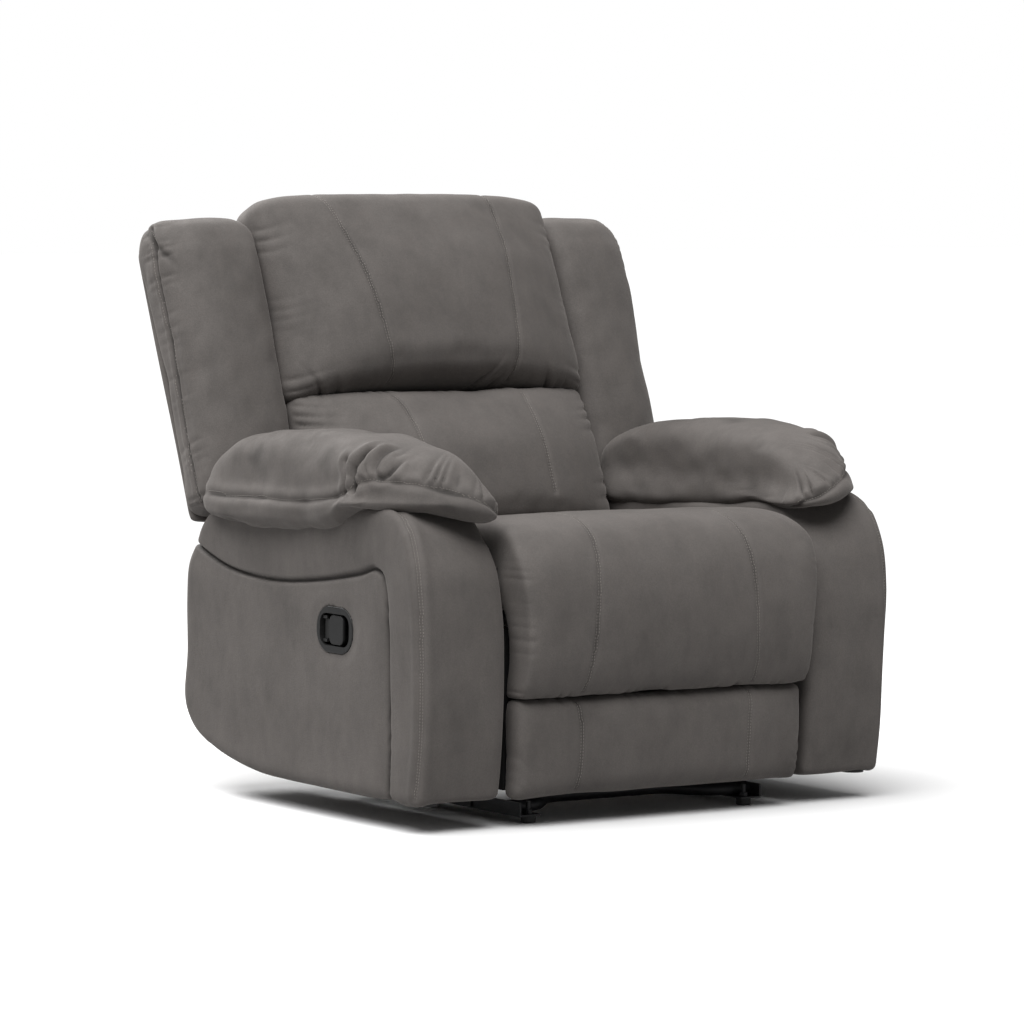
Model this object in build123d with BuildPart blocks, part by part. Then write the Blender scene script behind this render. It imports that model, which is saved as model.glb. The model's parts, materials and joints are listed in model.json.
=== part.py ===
from build123d import *

# A recliner armchair: a fixed steel base with two upholstered arms, a seat carriage that glides on
# tracks, a back that reclines on it, and a footrest pad on two swing arms driven by a cross shaft.
# Millimetres. +X is the sitter's left, -Y is the front and +Z is up. The origin is on the floor,
# under the middle of the chair.

import os
from math import atan2, cos, degrees, hypot, radians, sin, tan

os.makedirs("parts", exist_ok=True)

LEFT, RIGHT = 1, -1
SIDES = {"left": LEFT, "right": RIGHT}

# Across the chair, from the arms inwards
seat_width = 634  # clear width between the arms
arm_width = 168
pillow_overhang = 20  # arm pillow past the arm's outer face
pillow_inset = 8  # arm pillow back from the arm's inner face
arm_to_plate = 14  # arm to the seat side plate
plate_thickness = 4
rod_thickness = 3
link_gap = 2  # between neighbouring links
cushion_gap = 2
head_thickness = 2  # heads of the link pins
head_gap = 0.5
pad_overlap = 1  # footrest pads over the side plates
frame_gap = 1  # links to the footrest board and to the back's frame

# Fits
running_gap = 0.08  # pin in a turning hole
seated_gap = 0.05  # pin in a fixed hole
open_pivot_gap = 0.3  # the one pivot that closes the drive linkage

# Arms, seen from the side
arm_front_y = -427
arm_rear_y = 308
arm_bottom_z = 50
arm_top_z = 500
panel_thickness = 18
inner_panel_thickness = 15
rear_cover_thickness = 10
groove_width = 4
groove_low_z = 386.5
groove_end_z = 434
groove_front_y = -328
groove_corner_radius = 30
post_depth = 45
pillow_gap = 3
pillow_height = 142
pillow_front_y = -430
pillow_rear_y = 208

# Lever in the right arm
bezel_y, bezel_z = -168, 318
bezel_length, bezel_height, bezel_corner = 109, 78, 37
bezel_proud = 3.5
bezel_wall = 3
recess_length, recess_height, recess_corner = 88, 54, 18
recess_depth = 33.5
lever_pin_radius = 1.5
lever_pin_y = -135
lever_pin_depth = 9  # behind the bezel's face
paddle_thickness = 6
grip_length, grip_height = 42, 50
grip_front_gap = 20  # finger space in front of the grip
neck_height = 32
lug_thickness = 5
lug_gap = 1

# Base
rail_to_arm = 63
rail_leg_width = 42
rail_height = 24
rail_thickness = 3
rail_bottom_z = 12
rail_front_y, rail_rear_y = -378, 318
foot_inset = 27  # foot in from the rail's outer side
foot_front_y, foot_rear_y = -364, 304
foot_radius = 12.5
stud_radius = 4
stud_top_z = 36
nut_height = 6.5
nut_across_corners = 15
cross_tube_radius = 11
cross_tube_wall = 1.5
front_tube_y = -340
front_tube_bow = 75
front_tube_bend = 60
rear_tube_y = 280
bracket_thickness = 4
bracket_width = 50
front_bracket_y, rear_bracket_y = -215, 105
track_width = 26
track_height = 24
track_wall = 3
track_front_y, track_rear_y = -260, 130
track_bottom_z = 188
runner_front_y, runner_rear_y = -230, 100
arm_bracket_z = 96
arm_bracket_width = 40
arm_bracket_height = 40
bolt_radius = 4
bolt_head_radius = 8
bolt_head_height = 5
glide_radius = 20
glide_thickness = 4
glide_y = -385

# Seat carriage and its pivots, as (y, z)
recline_pivot = (180, 320)
footrest_pivot = (-413, 430)
shaft_centre = (-150, 290)
recline_pin_radius = 7
footrest_pin_radius = 6
pin_shoulder = 4
shaft_radius = 8
shaft_wall = 2
bush_wall = 3
plate_bottom_z = 218
plate_top_z = 325
front_rail_y, rear_rail_y = -317, 71
seat_rail_depth = 22
seat_rail_bottom_z, seat_rail_top_z = 252, 302
spring_wire_radius = 1.9
spring_amplitude = 25
spring_pitch = 30
seat_spring_spacing = 100
seat_crest_z = 503
seat_cushion_front_y, seat_cushion_rear_y = -390, 110

# Drive linkage
crank_reach = 50
crank_rest_angle = -73  # from +Y, towards +Z
link_end_radius = 8
link_pin_radius = 4
link_head_radius = 7

# Footrest
board_front_y, board_rear_y = -380, -365
board_bottom_z, board_top_z = 60, 330
pad_front_y = -470
pad_crease_z = 212
pad_crease_gap = 6
pad_bottom_z = 47
upper_pad_top_z = 400
upper_pad_rear_y = -396
lower_pad_front_y = -424
swing_arm_width = 30

# Back, on a plane that leans back. Along it: s up the plane and n forward from its rear face
back_lean = 21.4
back_foot = (230.4, 320)
back_length = 656
wing_inset = 5
wing_to_pillow = 7  # wing's side in from the arm pillow's
upright_width = 28
frame_rear_n, frame_front_n = 8, 42
back_rail_height = 30
lumbar_bottom_s, lumbar_top_s = 75, 325
back_spring_spacing = 130
wing_gap = 8  # wing above the arm
panel_low_s = -95
outer_panel_thickness = 8

# Places across the chair that follow from those
arm_inner_x = seat_width / 2
arm_outer_x = arm_inner_x + arm_width
hollow_inner_x = arm_inner_x + inner_panel_thickness
hollow_outer_x = arm_outer_x - panel_thickness
plate_outer_x = arm_inner_x - arm_to_plate
plate_inner_x = plate_outer_x - plate_thickness
rod_outer_x = plate_inner_x - head_gap - head_thickness - head_gap
rod_inner_x = rod_outer_x - rod_thickness
link_outer_x = rod_inner_x - link_gap
link_inner_x = link_outer_x - plate_thickness
cushion_half_width = link_inner_x - cushion_gap
upright_outer_x = link_outer_x + frame_gap
board_half_width = link_outer_x - frame_gap
pad_half_width = plate_inner_x + pad_overlap
back_cushion_half_width = plate_inner_x
rail_outer_x = arm_inner_x - rail_to_arm
foot_x = rail_outer_x - foot_inset
track_inner_x = rail_outer_x + bracket_thickness
track_outer_x = track_inner_x + track_width
track_top_z = track_bottom_z + track_height
pillow_inner_x = arm_inner_x + pillow_inset
pillow_outer_x = arm_outer_x + pillow_overhang
wing_half_width = pillow_outer_x - wing_to_pillow
rib_outer_x = arm_inner_x + wing_inset

# Link points in the side view, as (y, z)
crank_step = (
    crank_reach * cos(radians(crank_rest_angle)),
    crank_reach * sin(radians(crank_rest_angle)),
)
crank_tip = (shaft_centre[0] + crank_step[0], shaft_centre[1] + crank_step[1])
swing_lug = (footrest_pivot[0] + crank_step[0], footrest_pivot[1] + crank_step[1])


def write(piece, name):
    """Label a piece and write it to its own file."""
    piece.part.label = name
    export_step(piece.part, f"parts/{name}.step")


def side_plane(x):
    """The plane at x with Y across and Z up."""
    return Plane.YZ.offset(x)


lean_sin, lean_cos = sin(radians(back_lean)), cos(radians(back_lean))


def back_plane(n):
    """A plane n in front of the back's rear face, with X across and s up."""
    foot = (0, back_foot[0] - n * lean_cos, back_foot[1] + n * lean_sin)
    return Plane(origin=foot, x_dir=(1, 0, 0), z_dir=(0, -lean_cos, lean_sin))


def back_side_plane(x):
    """The plane at x with s across and n up, for outlines of the back seen from the side."""
    return Plane(origin=(x, *back_foot), x_dir=(0, lean_sin, lean_cos), z_dir=(1, 0, 0))


def back_s(y, z):
    """How far up the back's plane a point in the side view lies."""
    return (y - back_foot[0]) * lean_sin + (z - back_foot[1]) * lean_cos


def zigzag(start, end, pitch, amplitude, middle):
    """Corner points of a sinuous spring between two lines, about a middle line."""
    loops = int((end - start) / pitch)
    step = (end - start) / loops
    points = [(middle, start)]
    for loop in range(loops):
        reach = middle + amplitude * (1 if loop % 2 == 0 else -1)
        points += [(reach, start + loop * step), (reach, start + (loop + 1) * step)]
    points.append((middle, end))
    return points, 0.45 * step


def between(a, b):
    """The middle of two points, their distance and the direction from one to the other."""
    run, rise = b[0] - a[0], b[1] - a[1]
    middle = ((a[0] + b[0]) / 2, (a[1] + b[1]) / 2)
    return middle, hypot(run, rise), degrees(atan2(rise, run))


# ---------------------------------------------------------------- base frame

foot_places = [(x, y) for x in (-foot_x, foot_x) for y in (foot_front_y, foot_rear_y)]
rail_leg_top_z = rail_bottom_z + rail_thickness

with BuildPart() as base_rails:
    for side in SIDES.values():
        with BuildSketch(Plane.XZ.offset(-rail_rear_y)):
            with Locations((side * (rail_outer_x - rail_leg_width / 2), rail_bottom_z + rail_thickness / 2)):
                Rectangle(rail_leg_width, rail_thickness)
            with Locations((side * (rail_outer_x - rail_thickness / 2), rail_bottom_z + rail_height / 2)):
                Rectangle(rail_thickness, rail_height)
        extrude(amount=rail_rear_y - rail_front_y)
    with BuildSketch(Plane.XY.offset(rail_bottom_z)):
        with Locations(*foot_places):
            Circle(stud_radius + seated_gap)
    extrude(amount=rail_thickness, mode=Mode.SUBTRACT)
write(base_rails, "base_rails")

tube_end_x = rail_outer_x - rail_thickness
tube_z = rail_leg_top_z + cross_tube_radius
bow_start_x, bow_end_x = foot_x - 35, foot_x - 105

with BuildPart() as front_cross_tube:
    with BuildLine(Plane.XY.offset(tube_z)):
        FilletPolyline(
            (-tube_end_x, front_tube_y),
            (-bow_start_x, front_tube_y),
            (-bow_end_x, front_tube_y + front_tube_bow),
            (bow_end_x, front_tube_y + front_tube_bow),
            (bow_start_x, front_tube_y),
            (tube_end_x, front_tube_y),
            radius=front_tube_bend,
        )
    with BuildSketch(Plane(origin=(-tube_end_x, front_tube_y, tube_z), x_dir=(0, 1, 0), z_dir=(1, 0, 0))):
        Circle(cross_tube_radius)
        Circle(cross_tube_radius - cross_tube_wall, mode=Mode.SUBTRACT)
    sweep()
write(front_cross_tube, "front_cross_tube")

with BuildPart() as rear_cross_tube:
    with BuildSketch(side_plane(-tube_end_x)):
        with Locations((rear_tube_y, tube_z)):
            Circle(cross_tube_radius)
            Circle(cross_tube_radius - cross_tube_wall, mode=Mode.SUBTRACT)
    extrude(amount=2 * tube_end_x)
write(rear_cross_tube, "rear_cross_tube")

with BuildPart() as base_brackets:
    for side in SIDES.values():
        with BuildSketch(side_plane(side * rail_outer_x)):
            for bracket_y in (front_bracket_y, rear_bracket_y):
                with Locations((bracket_y, (rail_leg_top_z + track_top_z) / 2)):
                    Rectangle(bracket_width, track_top_z - rail_leg_top_z)
        extrude(amount=side * bracket_thickness)
write(base_brackets, "base_brackets")

lip_width = track_width / 2 - 5

with BuildPart() as seat_tracks:
    for side in SIDES.values():
        track_middle_x = side * (track_inner_x + track_outer_x) / 2
        with BuildSketch(Plane.XZ.offset(-track_rear_y)):
            with Locations((track_middle_x, track_bottom_z + track_height / 2)):
                Rectangle(track_width, track_height)
                Rectangle(track_width - 2 * track_wall, track_height - 2 * track_wall, mode=Mode.SUBTRACT)
            with Locations((track_middle_x, track_top_z - track_wall / 2)):
                Rectangle(track_width - 2 * lip_width, track_wall, mode=Mode.SUBTRACT)
        extrude(amount=track_rear_y - track_front_y)
write(seat_tracks, "seat_tracks")

with BuildPart() as levelling_feet:
    with BuildSketch(Plane.XY):
        with Locations(*foot_places):
            Circle(foot_radius)
    extrude(amount=rail_bottom_z)
    chamfer(faces().group_by(Axis.Z)[0].edges(), length=1.5)
write(levelling_feet, "levelling_feet")

with BuildPart() as foot_studs:
    with BuildSketch(Plane.XY.offset(rail_bottom_z)):
        with Locations(*foot_places):
            Circle(stud_radius)
    extrude(amount=stud_top_z - rail_bottom_z)
    with BuildSketch(Plane.XY.offset(rail_leg_top_z)):
        with Locations(*foot_places):
            RegularPolygon(radius=nut_across_corners / 2, side_count=6)
    extrude(amount=nut_height)
write(foot_studs, "foot_studs")

bolt_z = arm_bracket_z + arm_bracket_height / 2
flange_inner_x = arm_inner_x - bracket_thickness
bolt_places = [(front_bracket_y, bolt_z), (rear_bracket_y, bolt_z)]

with BuildPart() as arm_brackets:
    for side in SIDES.values():
        for bracket_y in (front_bracket_y, rear_bracket_y):
            with BuildSketch(Plane.XZ.offset(-bracket_y - arm_bracket_width / 2)):
                with Locations(
                    (side * (track_inner_x + arm_inner_x) / 2, arm_bracket_z + bracket_thickness / 2)
                ):
                    Rectangle(arm_inner_x - track_inner_x, bracket_thickness)
                with Locations(
                    (side * (arm_inner_x - bracket_thickness / 2), arm_bracket_z + arm_bracket_height / 2)
                ):
                    Rectangle(bracket_thickness, arm_bracket_height)
            extrude(amount=arm_bracket_width)
        with BuildSketch(side_plane(side * flange_inner_x)):
            with Locations(*bolt_places):
                Circle(bolt_radius + seated_gap)
        extrude(amount=side * bracket_thickness, mode=Mode.SUBTRACT)
write(arm_brackets, "arm_brackets")

with BuildPart() as arm_bolts:
    for side in SIDES.values():
        for start_x, length, radius in (
            (flange_inner_x - bolt_head_height, bolt_head_height, bolt_head_radius),
            (flange_inner_x, hollow_inner_x - flange_inner_x, bolt_radius),
            (hollow_inner_x, bolt_head_height, bolt_head_radius),
        ):
            with BuildSketch(side_plane(side * start_x)):
                with Locations(*bolt_places):
                    Circle(radius)
            extrude(amount=side * length)
write(arm_bolts, "arm_bolts")

# ---------------------------------------------------------------- arms

with BuildPart() as arm_glides:
    with BuildSketch(Plane.XY.offset(arm_bottom_z - glide_thickness)):
        with Locations(
            ((arm_inner_x + arm_outer_x) / 2 + 48, glide_y), (-(arm_inner_x + arm_outer_x) / 2 - 48, glide_y)
        ):
            Circle(glide_radius)
    extrude(amount=glide_thickness)
write(arm_glides, "arm_glides")

# The arm from the side: a bulging front, a brow over it, a flat top and a rounded rear
with BuildSketch() as arm_outline:
    with BuildLine():
        ThreePointArc(
            (arm_front_y + 14, arm_bottom_z),
            (arm_front_y, (arm_bottom_z + arm_top_z) / 2 - 15),
            (arm_front_y + 17, arm_top_z - 52),
        )
        ThreePointArc(
            (arm_front_y + 17, arm_top_z - 52),
            (arm_front_y + 47, arm_top_z - 2),
            (arm_front_y + 103, arm_top_z + 20),
        )
        Polyline(
            (arm_front_y + 103, arm_top_z + 20),
            (arm_front_y + 197, arm_top_z + 2),
            (arm_rear_y - 128, arm_top_z),
        )
        ThreePointArc(
            (arm_rear_y - 128, arm_top_z),
            (arm_rear_y - 46, arm_top_z - 38),
            (arm_rear_y, arm_top_z - 115),
        )
        Line((arm_rear_y, arm_top_z - 115), (arm_rear_y, arm_bottom_z + 85))
        ThreePointArc(
            (arm_rear_y, arm_bottom_z + 85),
            (arm_rear_y - 108, arm_bottom_z + 28),
            (arm_rear_y - 263, arm_bottom_z),
        )
        Line((arm_rear_y - 263, arm_bottom_z), (arm_front_y + 14, arm_bottom_z))
    make_face()

# The lower side panel's field, inside the recessed line that runs along and down the arm
groove_middle_y = (groove_front_y + arm_rear_y) / 2 + 18
with BuildSketch() as panel_field:
    with BuildLine():
        groove = ThreePointArc(
            (arm_rear_y + 40, groove_end_z + 15),
            (groove_middle_y, groove_low_z),
            (groove_front_y, groove_end_z + 15),
        )
        Polyline(
            groove @ 1,
            (groove_front_y, arm_bottom_z - 10),
            (arm_rear_y + 40, arm_bottom_z - 10),
            groove @ 0,
        )
    make_face()
    fillet(panel_field.vertices().group_by(Axis.X)[0].sort_by(Axis.Y)[-1], groove_corner_radius)

cable_hole = (-205, 150)
cable_radius = 2.5
cable_hole_gap = 2.5
recess_middle_y = lever_pin_y + 11 - recess_length / 2

for name, side in SIDES.items():
    with BuildPart() as arm_inner_panel:
        with BuildSketch(side_plane(side * arm_inner_x)):
            add(arm_outline.sketch)
            with Locations(*bolt_places):
                Circle(bolt_radius + seated_gap, mode=Mode.SUBTRACT)
            if side == RIGHT:
                with Locations(cable_hole):
                    Circle(cable_radius + cable_hole_gap, mode=Mode.SUBTRACT)
        extrude(amount=side * inner_panel_thickness)
    write(arm_inner_panel, f"arm_inner_panel_{name}")

    with BuildPart() as arm_outer_cover:
        with BuildSketch(side_plane(side * hollow_outer_x)):
            add(arm_outline.sketch)
            offset(panel_field.sketch, amount=groove_width, mode=Mode.SUBTRACT)
        extrude(amount=side * panel_thickness)
    write(arm_outer_cover, f"arm_outer_cover_{name}")

    with BuildPart() as arm_side_panel:
        with BuildSketch(side_plane(side * hollow_outer_x)):
            add(arm_outline.sketch)
            add(panel_field.sketch, mode=Mode.INTERSECT)
            if side == RIGHT:
                with Locations((recess_middle_y, bezel_z)):
                    RectangleRounded(
                        recess_length + 2 * bezel_wall + 2,
                        recess_height + 2 * bezel_wall + 2,
                        recess_corner + bezel_wall + 1,
                        mode=Mode.SUBTRACT,
                    )
        extrude(amount=side * panel_thickness)
    write(arm_side_panel, f"arm_side_panel_{name}")

    with BuildPart() as arm_facing:
        with BuildSketch(side_plane(side * hollow_inner_x)):
            add(arm_outline.sketch)
            offset(arm_outline.sketch, amount=-panel_thickness, mode=Mode.SUBTRACT)
            with Locations((arm_front_y + 52, arm_top_z / 2)):
                Rectangle(104, arm_top_z + 100, mode=Mode.INTERSECT)
        extrude(amount=side * (hollow_outer_x - hollow_inner_x))
    write(arm_facing, f"arm_facing_{name}")

    with BuildPart() as arm_pillow:
        pillow_low_z = arm_top_z + pillow_gap
        with BuildSketch(side_plane(side * pillow_inner_x)):
            with BuildLine():
                pillow_foot = Polyline(
                    (pillow_rear_y - 3, pillow_low_z),
                    (arm_front_y + 197, pillow_low_z + 2),
                    (arm_front_y + 103, pillow_low_z + 20),
                    (arm_front_y + 47, pillow_low_z + 6),
                    (pillow_front_y + 18, pillow_low_z),
                    (pillow_front_y, pillow_low_z + 20),
                )
                Spline(
                    pillow_foot @ 1,
                    (pillow_front_y + 14, pillow_low_z + 0.62 * pillow_height),
                    (pillow_front_y + 90, pillow_low_z + 0.94 * pillow_height),
                    (pillow_front_y + 230, pillow_low_z + pillow_height),
                    (pillow_rear_y - 170, pillow_low_z + 0.98 * pillow_height),
                    (pillow_rear_y - 60, pillow_low_z + 0.75 * pillow_height),
                    pillow_foot @ 0,
                )
            make_face()
        extrude(amount=side * (pillow_outer_x - pillow_inner_x))
    write(arm_pillow, f"arm_pillow_{name}")

with BuildPart() as arm_rear_covers:
    for side in SIDES.values():
        with BuildSketch(side_plane(side * hollow_inner_x)):
            add(arm_outline.sketch)
            offset(arm_outline.sketch, amount=-rear_cover_thickness, mode=Mode.SUBTRACT)
            with Locations((arm_rear_y - 50, arm_top_z / 2)):
                Rectangle(110, arm_top_z + 100, mode=Mode.INTERSECT)
        extrude(amount=side * (hollow_outer_x - hollow_inner_x))
write(arm_rear_covers, "arm_rear_covers")

with BuildPart() as arm_posts:
    for side in SIDES.values():
        with BuildSketch(side_plane(side * hollow_inner_x)):
            with Locations((arm_front_y + 60, (arm_bottom_z + arm_top_z) / 2 - 20)):
                Rectangle(post_depth, arm_top_z - arm_bottom_z - 80)
            with Locations((arm_rear_y - 46, (arm_bottom_z + arm_top_z) / 2 - 5)):
                Rectangle(post_depth, arm_top_z - arm_bottom_z - 190)
        extrude(amount=side * (hollow_outer_x - hollow_inner_x))
write(arm_posts, "arm_posts")

top_board_front_y, top_board_rear_y = arm_front_y + 105, arm_rear_y - 132
with BuildPart() as arm_top_boards:
    for side in SIDES.values():
        with BuildSketch(side_plane(side * hollow_inner_x)):
            with Locations(((top_board_front_y + top_board_rear_y) / 2, arm_top_z - panel_thickness / 2 - 2)):
                Rectangle(top_board_rear_y - top_board_front_y, panel_thickness)
        extrude(amount=side * (hollow_outer_x - hollow_inner_x))
write(arm_top_boards, "arm_top_boards")

# ---------------------------------------------------------------- release lever, in the right arm

bezel_face_x = -arm_outer_x - bezel_proud
cup_floor_x = bezel_face_x + recess_depth
lever_pin_x = bezel_face_x + lever_pin_depth
neck_low_z, neck_high_z = bezel_z - neck_height / 2, bezel_z + neck_height / 2

with BuildPart() as lever_bezel:
    with BuildSketch(side_plane(bezel_face_x)):
        with Locations((bezel_y, bezel_z)):
            RectangleRounded(bezel_length, bezel_height, bezel_corner)
    extrude(amount=bezel_proud)
    fillet(faces().sort_by(Axis.X)[0].edges(), radius=2)
    with BuildSketch(side_plane(-arm_outer_x)):
        with Locations((recess_middle_y, bezel_z)):
            RectangleRounded(
                recess_length + 2 * bezel_wall, recess_height + 2 * bezel_wall, recess_corner + bezel_wall
            )
    extrude(amount=recess_depth - bezel_proud + bezel_wall)
    with BuildSketch(side_plane(bezel_face_x)):
        with Locations((recess_middle_y, bezel_z)):
            RectangleRounded(recess_length, recess_height, recess_corner)
    extrude(amount=recess_depth, mode=Mode.SUBTRACT)
    for lug_low_z in (neck_low_z - lug_gap - lug_thickness, neck_high_z + lug_gap):
        with BuildSketch(Plane.XY.offset(lug_low_z)):
            with Locations(((lever_pin_x + cup_floor_x) / 2 - 3, lever_pin_y - 1)):
                Rectangle(cup_floor_x - lever_pin_x + 6, 12)
            with Locations((lever_pin_x, lever_pin_y)):
                Circle(lever_pin_radius + seated_gap, mode=Mode.SUBTRACT)
        extrude(amount=lug_thickness)
write(lever_bezel, "lever_bezel")

with BuildPart() as lever_pin:
    with BuildSketch(Plane.XY.offset(neck_low_z - lug_gap - lug_thickness)):
        with Locations((lever_pin_x, lever_pin_y)):
            Circle(lever_pin_radius)
    extrude(amount=neck_height + 2 * (lug_gap + lug_thickness))
write(lever_pin, "lever_pin")

grip_front_y = recess_middle_y - recess_length / 2 + grip_front_gap
grip_rear_y = grip_front_y + grip_length
grip_face_x = bezel_face_x + 1.5

with BuildPart() as lever_paddle:
    with BuildSketch(side_plane(grip_face_x)):
        with Locations(((grip_front_y + grip_rear_y) / 2, bezel_z)):
            RectangleRounded(grip_length, grip_height, 12)
    extrude(amount=paddle_thickness)
    fillet(edges().filter_by(GeomType.LINE, reverse=True), radius=1.5)
    with BuildSketch(Plane.XY.offset(neck_low_z)):
        with Locations((lever_pin_x, (grip_rear_y - 8 + lever_pin_y) / 2)):
            Rectangle(paddle_thickness, lever_pin_y - grip_rear_y + 8)
        with Locations((lever_pin_x, lever_pin_y)):
            Circle(lever_pin_radius + 2.5)
            Circle(lever_pin_radius + running_gap, mode=Mode.SUBTRACT)
    extrude(amount=neck_height)
write(lever_paddle, "lever_paddle")

cup_back_x = cup_floor_x + bezel_wall
cable_points = [
    (cup_back_x, -150, bezel_z),
    (cup_back_x + 32, -150, bezel_z),
    (cup_back_x + 58, -158, bezel_z - 54),
    (cup_back_x + 72, -176, bezel_z - 106),
    (-hollow_inner_x - 22, *cable_hole),
    (-track_inner_x, *cable_hole),
]


def bend_radii(points):
    """The largest tangent arc at each inner corner that its two runs allow."""
    radii = []
    for before, corner, after in zip(points, points[1:], points[2:]):
        run_in, run_out = Vector(*corner) - Vector(*before), Vector(*after) - Vector(*corner)
        shorter = min(run_in.length, run_out.length)
        radii.append(0.45 * shorter / tan(radians(run_in.get_angle(run_out) / 2)))
    return radii


cable_radii = bend_radii(cable_points)
print("release cable radii", [round(radius, 1) for radius in cable_radii])

with BuildPart() as release_cable:
    with BuildLine():
        FilletPolyline(*cable_points, radius=cable_radii)
    with BuildSketch(side_plane(cup_back_x)):
        with Locations(cable_points[0][1:]):
            Circle(cable_radius)
    sweep()
write(release_cable, "release_cable")

# ---------------------------------------------------------------- seat carriage

recline_boss, footrest_boss = recline_pin_radius + 11, footrest_pin_radius + 11
pivot_y, pivot_z = footrest_pivot
hinge_y, hinge_z = recline_pivot

for name, side in SIDES.items():
    with BuildPart() as seat_side_plate:
        with BuildSketch(side_plane(side * plate_inner_x)):
            Polygon(
                (front_rail_y - 18, plate_bottom_z),
                (hinge_y - 40, plate_bottom_z),
                (hinge_y + 16, hinge_z - 14),
                (hinge_y, hinge_z),
                (hinge_y - 30, plate_top_z + 5),
                (front_rail_y + 27, plate_top_z),
                (pivot_y + 58, pivot_z - 8),
                (pivot_y, pivot_z + footrest_boss),
                (pivot_y + 8, pivot_z - 15),
                (pivot_y + 22, pivot_z - 26),
                (pivot_y + 22, pivot_z - 50),
                (front_rail_y - 18, seat_rail_top_z),
                align=None,
            )
            with Locations(recline_pivot):
                Circle(recline_boss)
            with Locations(footrest_pivot):
                Circle(footrest_boss)
            with Locations(recline_pivot):
                Circle(recline_pin_radius + seated_gap, mode=Mode.SUBTRACT)
            with Locations(footrest_pivot):
                Circle(footrest_pin_radius + seated_gap, mode=Mode.SUBTRACT)
            with Locations(shaft_centre):
                Circle(shaft_radius + bush_wall + seated_gap, mode=Mode.SUBTRACT)
        extrude(amount=side * plate_thickness)
    write(seat_side_plate, f"seat_side_plate_{name}")

runner_width = track_width - 2 * track_wall - 4
runner_low_z = track_bottom_z + track_wall + 2
runner_high_z = track_top_z - track_wall - 5
track_middle_x = (track_inner_x + track_outer_x) / 2
runner_web = 4

with BuildPart() as seat_runners:
    for side in SIDES.values():
        with BuildSketch(Plane.XZ.offset(-runner_rear_y)):
            with Locations((side * track_middle_x, (runner_low_z + runner_high_z) / 2)):
                Rectangle(runner_width, runner_high_z - runner_low_z)
            with Locations((side * track_middle_x, (runner_high_z + plate_bottom_z) / 2)):
                Rectangle(runner_web, plate_bottom_z - runner_high_z)
            flange_start_x = track_middle_x - runner_web / 2
            with Locations((side * (flange_start_x + plate_inner_x) / 2, plate_bottom_z + runner_web / 2)):
                Rectangle(plate_inner_x - flange_start_x, runner_web)
        extrude(amount=runner_rear_y - runner_front_y)
write(seat_runners, "seat_runners")

for name, rail_y in (("seat_front_rail", front_rail_y), ("seat_rear_rail", rear_rail_y)):
    with BuildPart() as seat_rail:
        with BuildSketch(side_plane(-plate_inner_x)):
            with Locations((rail_y, (seat_rail_bottom_z + seat_rail_top_z) / 2)):
                Rectangle(seat_rail_depth, seat_rail_top_z - seat_rail_bottom_z)
        extrude(amount=2 * plate_inner_x)
    write(seat_rail, name)

seat_spring_z = seat_rail_top_z + spring_wire_radius
with BuildPart() as seat_springs:
    for row in range(-2, 3):
        middle_x = row * seat_spring_spacing
        points, bend = zigzag(front_rail_y, rear_rail_y, spring_pitch, spring_amplitude, middle_x)
        with BuildLine(Plane.XY.offset(seat_spring_z)):
            FilletPolyline(*points, radius=bend)
        with BuildSketch(Plane(origin=(*points[0], seat_spring_z), x_dir=(0, 1, 0), z_dir=(1, 0, 0))):
            Circle(spring_wire_radius)
        sweep()
write(seat_springs, "seat_springs")

with BuildPart() as seat_cushion:
    with BuildSketch(side_plane(-cushion_half_width)):
        with BuildLine():
            cushion_front = Line((seat_cushion_front_y, 345), (seat_cushion_front_y, seat_crest_z - 63))
            nose = ThreePointArc(
                cushion_front @ 1,
                (seat_cushion_front_y + 19, seat_crest_z - 18),
                (seat_cushion_front_y + 70, seat_crest_z),
            )
            Polyline(
                nose @ 1,
                (seat_cushion_rear_y, seat_crest_z - 63),
                (seat_cushion_rear_y, seat_rail_top_z + 8),
                (front_rail_y - 8, seat_rail_top_z + 8),
                (board_rear_y + 20, 345),
                cushion_front @ 0,
            )
        make_face()
    extrude(amount=2 * cushion_half_width)
write(seat_cushion, "seat_cushion")

with BuildPart() as footrest_pivot_pins:
    for side in SIDES.values():
        with BuildSketch(side_plane(side * (link_inner_x - head_gap))):
            with Locations(footrest_pivot):
                Circle(footrest_pin_radius)
        extrude(amount=side * (plate_outer_x + 2 - link_inner_x + head_gap))
        with BuildSketch(side_plane(side * (link_outer_x + head_gap))):
            with Locations(footrest_pivot):
                Circle(footrest_pin_radius + pin_shoulder)
        extrude(amount=side * (plate_inner_x - link_outer_x - head_gap))
write(footrest_pivot_pins, "footrest_pivot_pins")

with BuildPart() as back_pivot_pins:
    for side in SIDES.values():
        with BuildSketch(side_plane(side * (upright_outer_x - 2))):
            with Locations(recline_pivot):
                Circle(recline_pin_radius)
        extrude(amount=side * (plate_outer_x + 3 - upright_outer_x + 2))
write(back_pivot_pins, "back_pivot_pins")

with BuildPart() as shaft_bushes:
    for side in SIDES.values():
        with BuildSketch(side_plane(side * (plate_inner_x - 1))):
            with Locations(shaft_centre):
                Circle(shaft_radius + bush_wall)
                Circle(shaft_radius + running_gap, mode=Mode.SUBTRACT)
        extrude(amount=side * (plate_thickness + 2))
write(shaft_bushes, "shaft_bushes")

# ---------------------------------------------------------------- drive linkage

with BuildPart() as drive_shaft:
    with BuildSketch(side_plane(-plate_outer_x - 3)):
        with Locations(shaft_centre):
            Circle(shaft_radius)
            Circle(shaft_radius - shaft_wall, mode=Mode.SUBTRACT)
    extrude(amount=2 * plate_outer_x + 6)
write(drive_shaft, "drive_shaft")

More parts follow.
